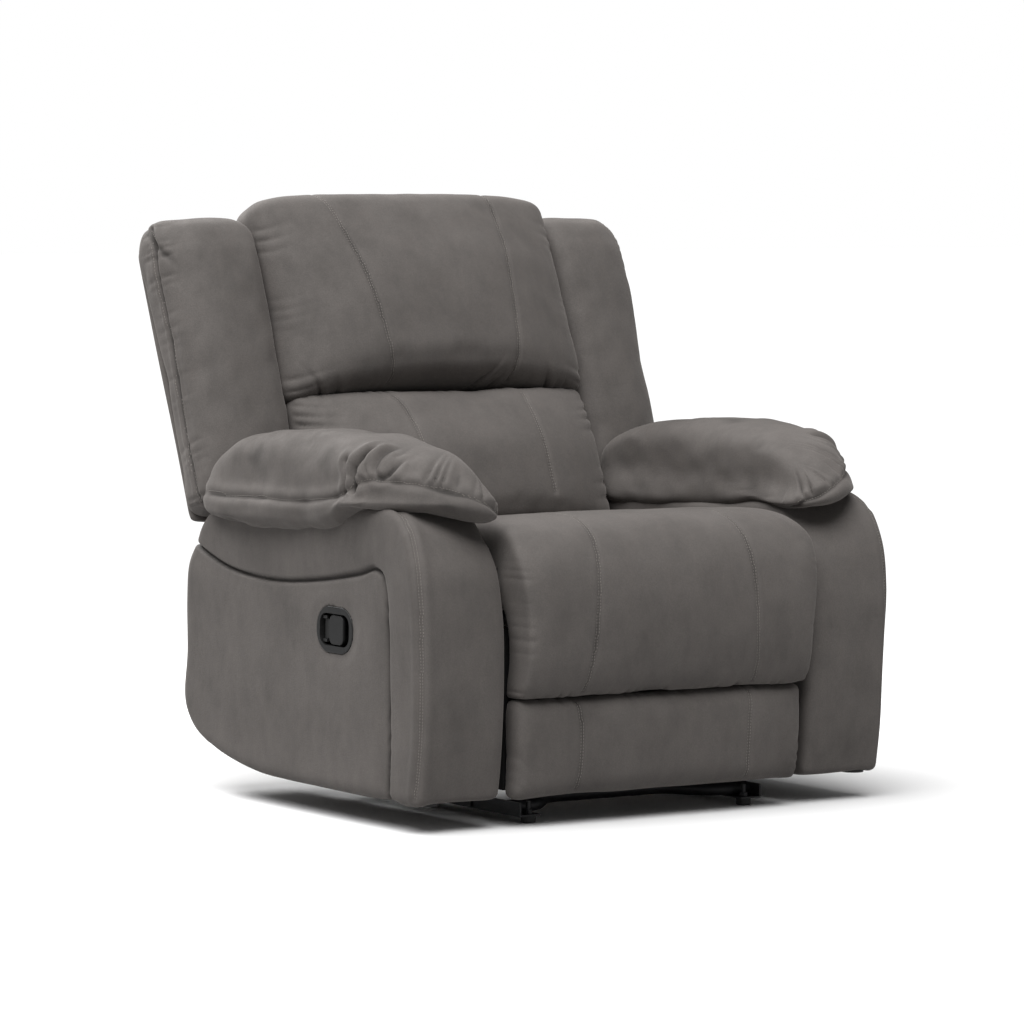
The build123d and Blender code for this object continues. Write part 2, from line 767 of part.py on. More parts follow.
crank_middle, crank_length, crank_angle = between(shaft_centre, crank_tip)
with BuildPart() as shaft_cranks:
    for side in SIDES.values():
        with BuildSketch(side_plane(side * link_inner_x)):
            with Locations(crank_middle):
                SlotCenterToCenter(crank_length, 2 * link_end_radius, rotation=crank_angle)
            with Locations(shaft_centre):
                Circle(shaft_radius + 5)
                Circle(shaft_radius + seated_gap, mode=Mode.SUBTRACT)
            with Locations(crank_tip):
                Circle(link_pin_radius + seated_gap, mode=Mode.SUBTRACT)
        extrude(amount=side * plate_thickness)
write(shaft_cranks, "shaft_cranks")

for name, pin_place in (("crank_pins", crank_tip), ("lug_pins", swing_lug)):
    with BuildPart() as link_pins:
        for side in SIDES.values():
            with BuildSketch(side_plane(side * link_inner_x)):
                with Locations(pin_place):
                    Circle(link_pin_radius)
            extrude(amount=side * (rod_outer_x + head_gap - link_inner_x))
            with BuildSketch(side_plane(side * (rod_outer_x + head_gap))):
                with Locations(pin_place):
                    Circle(link_head_radius)
            extrude(amount=side * head_thickness)
    write(link_pins, name)

rod_middle, rod_length, rod_angle = between(crank_tip, swing_lug)
with BuildPart() as drive_rods:
    for side in SIDES.values():
        with BuildSketch(side_plane(side * rod_inner_x)):
            with Locations(rod_middle):
                SlotCenterToCenter(rod_length, 2 * link_end_radius, rotation=rod_angle)
            with Locations(crank_tip):
                Circle(link_pin_radius + running_gap, mode=Mode.SUBTRACT)
            with Locations(swing_lug):
                Circle(link_pin_radius + open_pivot_gap, mode=Mode.SUBTRACT)
        extrude(amount=side * rod_thickness)
write(drive_rods, "drive_rods")

# ---------------------------------------------------------------- footrest

for name, side in SIDES.items():
    with BuildPart() as swing_arm:
        with BuildSketch(side_plane(side * link_inner_x)):
            Polygon(
                (pivot_y, pivot_z + footrest_boss - 1),
                (pivot_y + 41, pivot_z - 10),
                (board_rear_y + swing_arm_width, board_top_z + 15),
                (board_rear_y + swing_arm_width, board_bottom_z + 60),
                (board_rear_y, board_bottom_z + 60),
                (board_rear_y, board_top_z + 8),
                (swing_lug[0] + link_pin_radius - 2, swing_lug[1] - link_end_radius),
                (swing_lug[0] - link_end_radius, swing_lug[1]),
                (pivot_y, pivot_z - footrest_boss + 1),
                align=None,
            )
            with Locations(footrest_pivot):
                Circle(footrest_boss - 1)
            with Locations(swing_lug):
                Circle(link_end_radius)
            with Locations(footrest_pivot):
                Circle(footrest_pin_radius + running_gap, mode=Mode.SUBTRACT)
            with Locations(swing_lug):
                Circle(link_pin_radius + seated_gap, mode=Mode.SUBTRACT)
        extrude(amount=side * plate_thickness)
        with BuildSketch(Plane.XY.offset(board_bottom_z + 60)):
            with Locations((side * (link_inner_x - 16), board_rear_y + plate_thickness / 2)):
                Rectangle(32, plate_thickness)
        extrude(amount=board_top_z - board_bottom_z - 70)
    write(swing_arm, f"swing_arm_{name}")

with BuildPart() as footrest_board:
    with BuildSketch(side_plane(-board_half_width)):
        with Locations(((board_front_y + board_rear_y) / 2, (board_bottom_z + board_top_z) / 2)):
            Rectangle(board_rear_y - board_front_y, board_top_z - board_bottom_z)
    extrude(amount=2 * board_half_width)
write(footrest_board, "footrest_board")

upper_pad_low_z = pad_crease_z + pad_crease_gap / 2
pocket_front_y = swing_lug[0] - link_end_radius - 9
pocket_low_z = swing_lug[1] - link_end_radius - 15
pocket_inner_x = cushion_half_width

with BuildPart() as footrest_pad_upper:
    with BuildSketch(side_plane(-pad_half_width)):
        with BuildLine():
            pad_face = ThreePointArc(
                (pad_front_y + 7, upper_pad_top_z), (pad_front_y, 320), (pad_front_y + 15, upper_pad_low_z)
            )
            Polyline(
                pad_face @ 1,
                (board_front_y, upper_pad_low_z),
                (board_front_y, board_top_z + 6),
                (upper_pad_rear_y, board_top_z + 12),
                (upper_pad_rear_y, upper_pad_top_z),
                pad_face @ 0,
            )
        make_face()
    extrude(amount=2 * pad_half_width)
    for side in SIDES.values():
        with BuildSketch(side_plane(side * pocket_inner_x)):
            with Locations((pocket_front_y, pocket_low_z)):
                Rectangle(60, 100, align=Align.MIN)
        extrude(amount=side * 60, mode=Mode.SUBTRACT)
write(footrest_pad_upper, "footrest_pad_upper")

with BuildPart() as footrest_pad_lower:
    with BuildSketch(side_plane(-pad_half_width)):
        Polygon(
            (board_front_y, pad_bottom_z),
            (board_front_y, pad_crease_z - pad_crease_gap / 2),
            (lower_pad_front_y, pad_crease_z - pad_crease_gap / 2),
            (lower_pad_front_y - 6, (pad_bottom_z + pad_crease_z) / 2),
            (lower_pad_front_y, pad_bottom_z),
            align=None,
        )
    extrude(amount=2 * pad_half_width)
write(footrest_pad_lower, "footrest_pad_lower")

# ---------------------------------------------------------------- back

rail_rows = {
    "back_bottom_rail": lumbar_bottom_s,
    "back_middle_rail": lumbar_top_s + 18,
    "back_top_rail": back_length - 31,
}
upright_inner_x = upright_outer_x - upright_width
frame_depth = frame_front_n - frame_rear_n
wing_front_s = back_s(arm_rear_y - 97, arm_top_z + wing_gap)
wing_rear_s = wing_front_s - 8
rib_low_s = wing_front_s + 6

with BuildPart() as back_uprights:
    for side in SIDES.values():
        with BuildSketch(back_side_plane(side * upright_inner_x)):
            with Locations((10, frame_rear_n)):
                Rectangle(back_length - 26, frame_depth, align=Align.MIN)
        extrude(amount=side * upright_width)
write(back_uprights, "back_uprights")

for name, rail_s in rail_rows.items():
    with BuildPart() as back_rail:
        with BuildSketch(back_side_plane(-upright_inner_x)):
            with Locations((rail_s, (frame_rear_n + frame_front_n) / 2)):
                Rectangle(back_rail_height, frame_depth)
        extrude(amount=2 * upright_inner_x)
    write(back_rail, name)

with BuildPart() as wing_ribs:
    for side in SIDES.values():
        with BuildSketch(back_side_plane(side * upright_outer_x)):
            with Locations((rib_low_s, frame_rear_n)):
                Rectangle(back_length - 16 - rib_low_s, frame_depth + 12, align=Align.MIN)
        extrude(amount=side * (rib_outer_x - upright_outer_x))
write(wing_ribs, "wing_ribs")

with BuildPart() as back_brackets:
    for side in SIDES.values():
        with BuildSketch(side_plane(side * upright_outer_x)):
            Polygon(
                (hinge_y - 14, hinge_z + 10),
                (hinge_y + 8, hinge_z - 16),
                (hinge_y + 52, hinge_z + 20),
                (hinge_y + 92, hinge_z + 128),
                (hinge_y + 60, hinge_z + 138),
                align=None,
            )
            with Locations(recline_pivot):
                Circle(recline_boss)
                Circle(recline_pin_radius + running_gap, mode=Mode.SUBTRACT)
        extrude(amount=side * plate_thickness)
write(back_brackets, "back_brackets")

back_spring_n = frame_front_n + spring_wire_radius
with BuildPart() as back_springs:
    for row in range(4):
        middle_x = (row - 1.5) * back_spring_spacing
        points, bend = zigzag(
            rail_rows["back_bottom_rail"],
            rail_rows["back_top_rail"],
            spring_pitch,
            spring_amplitude,
            middle_x,
        )
        plane = back_plane(back_spring_n)
        with BuildLine(plane):
            FilletPolyline(*points, radius=bend)
        start = plane.from_local_coords(Vector(*points[0], 0))
        with BuildSketch(Plane(origin=start, x_dir=plane.y_dir, z_dir=(1, 0, 0))):
            Circle(spring_wire_radius)
        sweep()
write(back_springs, "back_springs")

upper_low_s = lumbar_top_s + 13
with BuildPart() as back_cushion_upper:
    with BuildSketch(back_side_plane(-back_cushion_half_width)):
        with BuildLine():
            face = ThreePointArc((upper_low_s, 170), (upper_low_s + 150, 205), (back_length - 23, 171))
            brow = ThreePointArc(face @ 1, (back_length + 38, 147), (back_length + 56, 115))
            Polyline(brow @ 1, (back_length + 56, 60), (back_length + 40, 56), (upper_low_s, 56), face @ 0)
        make_face()
    extrude(amount=2 * back_cushion_half_width)
write(back_cushion_upper, "back_cushion_upper")

with BuildPart() as back_cushion_lower:
    with BuildSketch(back_side_plane(-back_cushion_half_width)):
        with BuildLine():
            face = ThreePointArc((lumbar_bottom_s, 234), (lumbar_bottom_s + 140, 226), (lumbar_top_s, 172))
            Polyline(face @ 1, (lumbar_top_s, 62), (lumbar_bottom_s, 62), face @ 0)
        make_face()
    extrude(amount=2 * back_cushion_half_width)
write(back_cushion_lower, "back_cushion_lower")

for name, side in SIDES.items():
    with BuildPart() as back_wing:
        with BuildSketch(back_side_plane(side * rib_outer_x)):
            Polygon(
                (wing_rear_s, outer_panel_thickness),
                (wing_front_s, 86),
                (back_length - 56, 108),
                (back_length + 4, 90),
                (back_length + 24, 50),
                (back_length + 10, 12),
                (back_length, outer_panel_thickness),
                align=None,
            )
        extrude(amount=side * (wing_half_width - rib_outer_x))
    write(back_wing, f"back_wing_{name}")

with BuildPart() as back_outer_panel:
    with BuildSketch(back_plane(0)):
        with Locations((0, (panel_low_s + wing_rear_s) / 2)):
            Rectangle(2 * (upright_outer_x - frame_gap), wing_rear_s - panel_low_s)
        with Locations((0, (wing_rear_s + back_length) / 2)):
            Rectangle(2 * wing_half_width, back_length - wing_rear_s)
    extrude(amount=outer_panel_thickness)
write(back_outer_panel, "back_outer_panel")
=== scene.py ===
import json
import math

import bmesh
import bpy
import numpy as np
from mathutils import Matrix, Vector
from mathutils.bvhtree import BVHTree


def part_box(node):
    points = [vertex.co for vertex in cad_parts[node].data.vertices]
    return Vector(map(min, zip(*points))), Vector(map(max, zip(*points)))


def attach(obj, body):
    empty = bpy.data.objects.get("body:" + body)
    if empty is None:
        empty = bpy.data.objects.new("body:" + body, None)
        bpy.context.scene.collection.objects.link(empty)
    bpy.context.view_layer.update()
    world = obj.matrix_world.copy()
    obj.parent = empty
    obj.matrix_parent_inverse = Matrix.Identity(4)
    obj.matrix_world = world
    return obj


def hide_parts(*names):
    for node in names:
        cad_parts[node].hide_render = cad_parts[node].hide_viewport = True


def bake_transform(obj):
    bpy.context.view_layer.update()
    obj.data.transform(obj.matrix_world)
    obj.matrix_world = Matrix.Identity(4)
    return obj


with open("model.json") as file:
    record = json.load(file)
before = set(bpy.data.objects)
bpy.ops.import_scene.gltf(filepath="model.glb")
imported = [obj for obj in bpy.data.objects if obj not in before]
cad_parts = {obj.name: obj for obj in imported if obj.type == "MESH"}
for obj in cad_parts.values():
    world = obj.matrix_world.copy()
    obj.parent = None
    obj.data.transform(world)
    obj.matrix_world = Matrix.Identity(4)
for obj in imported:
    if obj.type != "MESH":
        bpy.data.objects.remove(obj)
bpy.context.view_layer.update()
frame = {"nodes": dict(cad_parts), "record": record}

# The outlines below are in millimetres in the frame's own axes, and MM carries them to metres.
MM = 0.001
LEFT, RIGHT = 1, -1
SIDES = {"left": LEFT, "right": RIGHT}
X, Y, Z = range(3)

AIR_PRESSURE = 4
CLOTH_FRAMES = 18
SMOOTH_LEVELS = 2
STITCH_PITCH, STITCH_LENGTH, STITCH_WIDTH, STITCH_HEIGHT = 5.2, 3.7, 1.0, 0.8
STITCH_LIFT = 0.2
PATH_STEP = 12

# ------------------------------------------------------------------ places read from the frame


def span(node, axis):
    """A node's lowest and highest value along an axis, in millimetres."""
    low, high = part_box(node)
    return low[axis] / MM, high[axis] / MM


ARM_INNER, ARM_OUTER = span("arm_inner_panel_left", X)[0], span("arm_outer_cover_left", X)[1]
PILLOW_INNER, PILLOW_OUTER = span("arm_pillow_left", X)
WING_OUTER = span("back_wing_left", X)[1]
CHAISE_HALF = span("footrest_pad_upper", X)[1]
LEAN = math.radians(21.4)
LEAN_SIN, LEAN_COS = math.sin(LEAN), math.cos(LEAN)
BACK_FOOT = (230.4, 320.0)  # y and z of the foot of the back's rear face


def on_back(x, s, n):
    """A point s up the back and n in front of its rear face."""
    y = BACK_FOOT[0] + s * LEAN_SIN - n * LEAN_COS
    z = BACK_FOOT[1] + s * LEAN_COS + n * LEAN_SIN
    return np.stack([x, y, z], axis=-1)


# ------------------------------------------------------------------ shape helpers


def smooth_curve(knots, at):
    """A smooth curve through knots (t, value...), at any t."""
    knots = np.asarray(knots, float)
    t, values = knots[:, 0], knots[:, 1:]
    slopes = np.gradient(values, t, axis=0)
    at = np.clip(at, t[0], t[-1])
    i = np.clip(np.searchsorted(t, at, side="right") - 1, 0, len(t) - 2)
    width = t[i + 1] - t[i]
    f = ((at - t[i]) / width)[..., None]
    width = width[..., None]
    return (
        (2 * f**3 - 3 * f**2 + 1) * values[i]
        + (f**3 - 2 * f**2 + f) * width * slopes[i]
        + (3 * f**2 - 2 * f**3) * values[i + 1]
        + (f**3 - f**2) * width * slopes[i + 1]
    )


def numbered(points):
    """Knots that stand one apart along a curve."""
    return [(i, *point) for i, point in enumerate(points)]


def profile(knots, at):
    """One number along a smooth curve of (t, value) knots."""
    return smooth_curve(knots, np.asarray(at, float))[..., 0]


def ripple(points, wavelength, seed):
    """Soft pseudo-random waves through space, about -1 to 1."""
    rng = np.random.default_rng(seed)
    total = np.zeros(len(points))
    for _ in range(7):
        direction = rng.normal(size=points.shape[1])
        direction /= np.linalg.norm(direction)
        stretch = rng.uniform(0.7, 1.5)
        phase = rng.uniform(0, 2 * math.pi)
        total += np.sin(points @ direction * (2 * math.pi * stretch / wavelength) + phase)
    return total / 3.2


def folds(along, pitch, seed):
    """Rounded ridges with narrow valleys along a seam, about -1 to 1, some strong and some faint."""
    rng = np.random.default_rng(seed)
    wander = np.zeros_like(along)
    for _ in range(4):
        length = pitch * rng.uniform(2.3, 6)
        wander += rng.uniform(0.4, 1.0) * np.sin(along * 2 * math.pi / length + rng.uniform(0, 6))
    fade = 0.5 + 0.5 * np.sin(along * 2 * math.pi / (pitch * rng.uniform(3.5, 5)) + rng.uniform(0, 6))
    ridges = np.abs(np.sin(along * math.pi / pitch + wander)) ** 0.7
    return (ridges - 0.55) * (0.25 + 1.2 * fade)


def bell(distance, width):
    """A smooth bump that is 1 at no distance and fades over a width."""
    return np.exp(-((distance / width) ** 2))


def ramp(value, low, high):
    """Smoothly from 0 at low to 1 at high."""
    f = np.clip((value - low) / (high - low), 0, 1)
    return f * f * (3 - 2 * f)


def path_distance(points, path):
    """How far points are from a path of points, and how far along the path each lies."""
    path = np.asarray(path, float)
    best = np.full(len(points), 1e9)
    place = np.zeros(len(points))
    start_length = 0.0
    for a, b in zip(path, path[1:]):
        run = b - a
        length = np.linalg.norm(run)
        f = np.clip((points - a) @ run / length**2, 0, 1)
        distance = np.linalg.norm(points - (a + f[:, None] * run), axis=1)
        nearer = distance < best
        best[nearer] = distance[nearer]
        place[nearer] = start_length + f[nearer] * length
        start_length += length
    return best, place


def fine_path(knots, step=PATH_STEP):
    """Points a step apart along a smooth curve through the knots."""
    knots = np.asarray(knots, float)
    lengths = np.r_[0, np.cumsum(np.linalg.norm(np.diff(knots, axis=0), axis=1))]
    count = max(2, int(lengths[-1] / step) + 1)
    return smooth_curve(np.column_stack([lengths, knots]), np.linspace(0, lengths[-1], count))


# ------------------------------------------------------------------ soft pieces


def cut_cube(cuts):
    """A cube from -1 to 1 whose skin is cut into a grid."""
    bm = bmesh.new()
    bmesh.ops.create_cube(bm, size=2)
    for axis, count in enumerate(cuts):
        along = [e for e in bm.edges if abs(e.verts[0].co[axis] - e.verts[1].co[axis]) > 1e-6]
        bmesh.ops.subdivide_edges(bm, edges=along, cuts=count, use_grid_fill=True)
    return bm


def add_object(name, bm):
    """Put a bmesh into the scene as a new object, and free it."""
    mesh = bpy.data.meshes.new(name)
    bm.to_mesh(mesh)
    bm.free()
    obj = bpy.data.objects.new(name, mesh)
    bpy.context.scene.collection.objects.link(obj)
    return obj


def read_vectors(rows, field):
    vectors = np.empty(len(rows) * 3, np.float32)
    rows.foreach_get(field, vectors)
    return vectors.reshape(-1, 3).astype(float)


def read_points(obj):
    return read_vectors(obj.data.vertices, "co")


def write_points(obj, points):
    obj.data.vertices.foreach_set("co", np.asarray(points, np.float32).ravel())
    obj.data.update()


def read_normals(obj):
    return read_vectors(obj.data.vertex_normals, "vector")


def read_home(obj):
    """Each point's place on the cube that the piece was cut from."""
    return read_vectors(obj.data.attributes["home"].data, "vector")


def inflate(obj, most):
    """Cloth under air pressure: the cover swells by at most `most` millimetres and settles."""
    before = read_points(obj)
    cloth = obj.modifiers.new("fill", "CLOTH")
    settings = cloth.settings
    settings.quality = 4
    settings.mass = 0.3
    settings.tension_stiffness = settings.compression_stiffness = 12
    settings.shear_stiffness = 6
    settings.bending_stiffness = 0.8
    settings.use_pressure = True
    settings.uniform_pressure_force = AIR_PRESSURE
    settings.effector_weights.gravity = 0
    cloth.collision_settings.use_collision = False
    scene = bpy.context.scene
    for step in range(1, CLOTH_FRAMES + 1):
        scene.frame_set(step)
    after = read_points(obj.evaluated_get(bpy.context.evaluated_depsgraph_get()))
    obj.modifiers.remove(cloth)
    scene.frame_set(1)
    move = after - before
    length = np.linalg.norm(move, axis=1, keepdims=True)
    write_points(obj, before + move * np.minimum(1, most * MM / np.maximum(length, 1e-9)))


def refine(obj):
    """Subdivide smoothly and keep the result as the piece's own mesh."""
    divide = obj.modifiers.new("refine", "SUBSURF")
    divide.levels = divide.render_levels = SMOOTH_LEVELS
    shaped = obj.evaluated_get(bpy.context.evaluated_depsgraph_get())
    finer = bpy.data.meshes.new_from_object(shaped)
    obj.modifiers.remove(divide)
    obj.data = finer


def soft_piece(name, cuts, shape, swell=0):
    """A closed piece cut from a cube: shape carries the cube's points to millimetres."""
    bm = cut_cube(cuts)
    home = np.array([v.co[:] for v in bm.verts])
    piece = add_object(name, bm)
    home_attribute = piece.data.attributes.new("home", "FLOAT_VECTOR", "POINT")
    home_attribute.data.foreach_set("vector", home.astype(np.float32).ravel())
    write_points(piece, shape(home) * MM)
    bm = bmesh.new()
    bm.from_mesh(piece.data)
    bmesh.ops.recalc_face_normals(bm, faces=bm.faces)
    bm.to_mesh(piece.data)
    bm.free()
    bpy.context.view_layer.update()
    if swell:
        inflate(piece, swell)
    refine(piece)
    piece.data.shade_smooth()
    return piece


def push(piece, amount):
    """Move the skin along its normals by amount(points, home) millimetres, and mark its valleys for
    painted shade.
    """
    points = read_points(piece)
    move = amount(points / MM, read_home(piece))
    write_points(piece, points + read_normals(piece) * (move * MM)[:, None])
    # The crease attribute holds how deep each valley sinks, and the fabric paints shade there.
    crease = piece.data.attributes.new("crease", "FLOAT", "POINT")
    crease.data.foreach_set("value", ramp(-move, 0.6, 5.0).astype(np.float32))
    piece.data.shade_smooth()


def rounded(home, half, radius):
    """Carry the cube's skin to a box of half sizes with rounded edges."""
    half = np.asarray(half, float)
    points = home * half
    core = np.clip(points, -(half - radius), half - radius)
    away = points - core
    length = np.linalg.norm(away, axis=1, keepdims=True)
    return core + away / np.maximum(length, 1e-9) * radius


def slab_outline(home, outline, centre, low_x, high_x, radius):
    """Carry the cube to a thick plate with a side outline round a centre and rounded rims.

    The cube's y and z run over the outline's face, and its x across the plate.
    """
    u, v = home[:, 1], home[:, 2]
    reach = np.maximum(np.abs(u), np.abs(v))
    closed = np.vstack([outline, outline[:1]]) - np.asarray(centre)
    # Angles are counted on the stretched square, so that its sides spread evenly over the outline
    size = np.abs(closed).max(axis=0)
    angle_of_outline = np.unwrap(np.arctan2(closed[:, 1] / size[1], closed[:, 0] / size[0]))
    if angle_of_outline[-1] < angle_of_outline[0]:
        closed, angle_of_outline = closed[::-1], angle_of_outline[::-1]
    angle = np.arctan2(v, u)
    wrapped = (angle - angle_of_outline[0]) % (2 * math.pi) + angle_of_outline[0]
    rim = np.column_stack([np.interp(wrapped, angle_of_outline, closed[:, k]) for k in range(2)])
    length = np.linalg.norm(rim, axis=1)
    half_x = (high_x - low_x) / 2
    along, across = reach * length, home[:, 0] * half_x
    core_along = np.minimum(along, length - radius)
    core_across = np.clip(across, -(half_x - radius), half_x - radius)
    da, dx = along - core_along, across - core_across
    away = np.hypot(da, dx)
    corner = (da > 0) & (np.abs(dx) > 0)
    grow = np.where(corner, radius / np.maximum(away, 1e-9), 1)
    along, across = core_along + da * grow, core_across + dx * grow
    face = rim / np.maximum(length, 1e-9)[:, None] * along[:, None] + np.asarray(centre)
    return np.column_stack([(low_x + high_x) / 2 + across, face])


def mirrored(points, side):
    return points * np.array([side, 1, 1])


# ------------------------------------------------------------------ materials


class Link:
    """A shader socket that takes part in Python arithmetic."""

    def __init__(self, tree, socket):
        self.tree, self.socket = tree, socket

    def math(self, operation, other, swap=False):
        pair = (other, self) if swap else (self, other)
        return self.tree.node("ShaderNodeMath", {0: pair[0], 1: pair[1]}, operation=operation)

    def __add__(self, other):
        return self.math("ADD", other)

    def __radd__(self, other):
        return self.math("ADD", other, True)

    def __sub__(self, other):
        return self.math("SUBTRACT", other)

    def __rsub__(self, other):
        return self.math("SUBTRACT", other, True)

    def __mul__(self, other):
        return self.math("MULTIPLY", other)

    def __rmul__(self, other):
        return self.math("MULTIPLY", other, True)

    def __pow__(self, other):
        return self.math("POWER", other)


class Finish:
    """A node material for one of the chair's finishes."""

    def __init__(self, name):
        self.material = bpy.data.materials.new(name)
        self.material.use_nodes = True
        self.nodes = self.material.node_tree.nodes
        self.links = self.material.node_tree.links
        self.shader = self.nodes["Principled BSDF"]
        self.place = Link(self, self.nodes.new("ShaderNodeTexCoord").outputs["Object"])

    def plug(self, socket, value):
        if isinstance(value, Link):
            self.links.new(value.socket, socket)
        else:
            socket.default_value = value

    def node(self, kind, inputs=(), output=0, **settings):
        node = self.nodes.new(kind)
        for key, value in settings.items():
            setattr(node, key, value)
        for key, value in dict(inputs).items():
            self.plug(node.inputs[key], value)
        return Link(self, node.outputs[output])

    def noise(self, scale, detail=2.0, roughness=0.5, stretch=(1, 1, 1)):
        place = self.node("ShaderNodeMapping", {"Vector": self.place, "Scale": stretch})
        inputs = {"Vector": place, "Scale": scale, "Detail": detail, "Roughness": roughness}
        return self.node("ShaderNodeTexNoise", inputs)

    def spread(self, value, low, high, from_low=0.3, from_high=0.7):
        """Map noise from its usual range onto low to high."""
        ends = {"From Min": from_low, "From Max": from_high, "To Min": low, "To Max": high}
        return self.node("ShaderNodeMapRange", {"Value": value, **ends})

    def blend(self, factor, a, b):
        node = self.nodes.new("ShaderNodeMix")
        node.data_type = "RGBA"
        self.plug(node.inputs["Factor"], factor)
        self.plug(node.inputs["A"], a)
        self.plug(node.inputs["B"], b)
        return Link(self, node.outputs["Result"])

    def bump(self, height, strength, distance):
        inputs = {"Height": height, "Strength": strength, "Distance": distance}
        return self.node("ShaderNodeBump", inputs)

    def set(self, **values):
        for key, value in values.items():
            self.plug(self.shader.inputs[key.replace("_", " ")], value)


def rgba(r, g, b):
    return (r, g, b, 1.0)


def suede(name, shade):
    """Brushed microfibre: soft cloudy tone, a short nap that catches light, fine grain, and painted shade
    in the valleys.
    """
    finish = Finish(name)
    base = np.array([0.127, 0.116, 0.109]) * shade
    lit = base * np.array([1.30, 1.25, 1.22])
    cloud = finish.noise(9.0, 5.0, 0.6)
    brushed = finish.noise(34.0, 5.0, 0.65, stretch=(1, 1, 0.5))
    grain = finish.noise(420.0, 4.0, 0.7)
    nap = finish.noise(1500.0, 2.0, 0.6)
    tone = finish.blend(finish.spread(cloud, 0, 1), rgba(*(base * 0.80)), rgba(*(base * 1.16)))
    tone = finish.blend(finish.spread(brushed, 0, 0.4), tone, rgba(*lit))
    tone = finish.blend(finish.spread(grain, 0.5, 0.0), tone, rgba(*(base * 0.62)))
    # Painted shade: where push marked valleys in seams, folds and creases, the colour darkens towards a
    # third of the base.
    crease = finish.node("ShaderNodeAttribute", output="Fac", attribute_name="crease")
    tone = finish.blend(crease * 0.75, tone, rgba(*(base * 0.30)))
    height = grain * 0.7 + nap * 0.3 + finish.noise(140.0, 3.0) * 0.5
    finish.set(
        Base_Color=tone,
        Roughness=finish.spread(brushed, 0.92, 0.66),
        Normal=finish.bump(height, 0.45, 0.0014),
        Sheen_Weight=0.30,
        Sheen_Roughness=0.38,
        Sheen_Tint=rgba(0.62, 0.58, 0.55),
        Specular_IOR_Level=0.34,
    )
    return finish.material


def thread():
    finish = Finish("seam_thread")
    twist = finish.noise(3000.0, 2.0, 0.5, stretch=(1, 1, 3))
    dark, light = rgba(0.22, 0.195, 0.175), rgba(0.34, 0.31, 0.28)
    finish.set(
        Base_Color=finish.blend(finish.spread(twist, 0, 1), dark, light),
        Roughness=finish.spread(twist, 0.55, 0.75),
        Normal=finish.bump(twist, 0.4, 0.0004),
        Sheen_Weight=0.3,
    )
    return finish.material


def black_plastic(name, shade, rough, bump_scale=700.0):
    finish = Finish(name)
    grain = finish.noise(bump_scale, 3.0, 0.6)
    rub = finish.noise(60.0, 4.0, 0.6)
    tone = finish.blend(finish.spread(rub, 0, 1), rgba(*(3 * [shade])), rgba(*(3 * [shade * 1.8])))
    finish.set(
        Base_Color=tone,
        Roughness=finish.spread(rub, rough, rough + 0.15),
        Normal=finish.bump(grain, 0.25, 0.0005),
        Specular_IOR_Level=0.35,
    )
    return finish.material


def steel(name, shade, rough, metallic):
    finish = Finish(name)
    scuff = finish.noise(90.0, 5.0, 0.65, stretch=(1, 0.15, 1))
    speck = finish.noise(1200.0, 2.0, 0.5)
    low, high = np.array(shade) * 0.8, np.array(shade) * 1.25
    finish.set(
        Base_Color=finish.blend(finish.spread(scuff, 0, 1), rgba(*low), rgba(*high)),
        Metallic=metallic,
        Roughness=finish.spread(scuff, rough, rough + 0.2),
        Normal=finish.bump(speck, 0.15, 0.0004),
    )
    return finish.material


def timber(name, dark, light):
    finish = Finish(name)
    grain = finish.noise(40.0, 6.0, 0.6, stretch=(6, 1, 6))
    ring = finish.noise(9.0, 2.0, 0.5, stretch=(3, 0.4, 3))
    mixed = finish.spread(grain, 0, 1) * 0.6 + finish.spread(ring, 0, 1) * 0.4
    finish.set(
        Base_Color=finish.blend(mixed, rgba(*dark), rgba(*light)),
        Roughness=finish.spread(grain, 0.6, 0.8),
        Normal=finish.bump(grain, 0.3, 0.001),
    )
    return finish.material


stitch_thread = thread()
finishes = {
    "cover_fabric": suede("brushed_cover", 1.0),
    "cushion_fabric": suede("brushed_cushion_cover", 1.03),
    "frame_wood": timber("sawn_pine", (0.36, 0.22, 0.11), (0.58, 0.40, 0.23)),
    # Painted shade: the boards are made near black so that the gap beside the footrest pad looks dark.
    "panel_board": black_plastic("painted_shade_board", 0.012, 0.8, 1800.0),
    "lever_plastic": black_plastic("lever_plastic", 0.012, 0.32),
    "foot_plastic": black_plastic("foot_plastic", 0.03, 0.5),
    "zinc_steel": steel("zinc_steel", (0.5, 0.5, 0.52), 0.3, 1.0),
    "cable_sheath": black_plastic("cable_sheath", 0.02, 0.55),
    "black_steel": steel("black_steel", (0.018, 0.018, 0.02), 0.38, 0.0),
}
slot_of = {entry["node"]: entry["material_slot"] for entry in frame["record"]["subparts"]}
for node_name, node_object in frame["nodes"].items():
    node_object.data.materials.clear()
    node_object.data.materials.append(finishes[slot_of[node_name]])


# ------------------------------------------------------------------ stitches, laid on a finished piece


def skin_of(piece):
    points = [v.co[:] for v in piece.data.vertices]
    return BVHTree.FromPolygons(points, [p.vertices[:] for p in piece.data.polygons])


def lay(skin, points):
    """The nearest places on a skin, with their normals."""
    hits = [skin.find_nearest(Vector(point)) for point in points]
    return [hit[0] for hit in hits], [hit[1] for hit in hits]


def on_skin(piece, path):
    """A path of millimetre points drawn onto a piece's skin."""
    places, _ = lay(skin_of(piece), np.asarray(path) * MM)
    return np.array(places) / MM


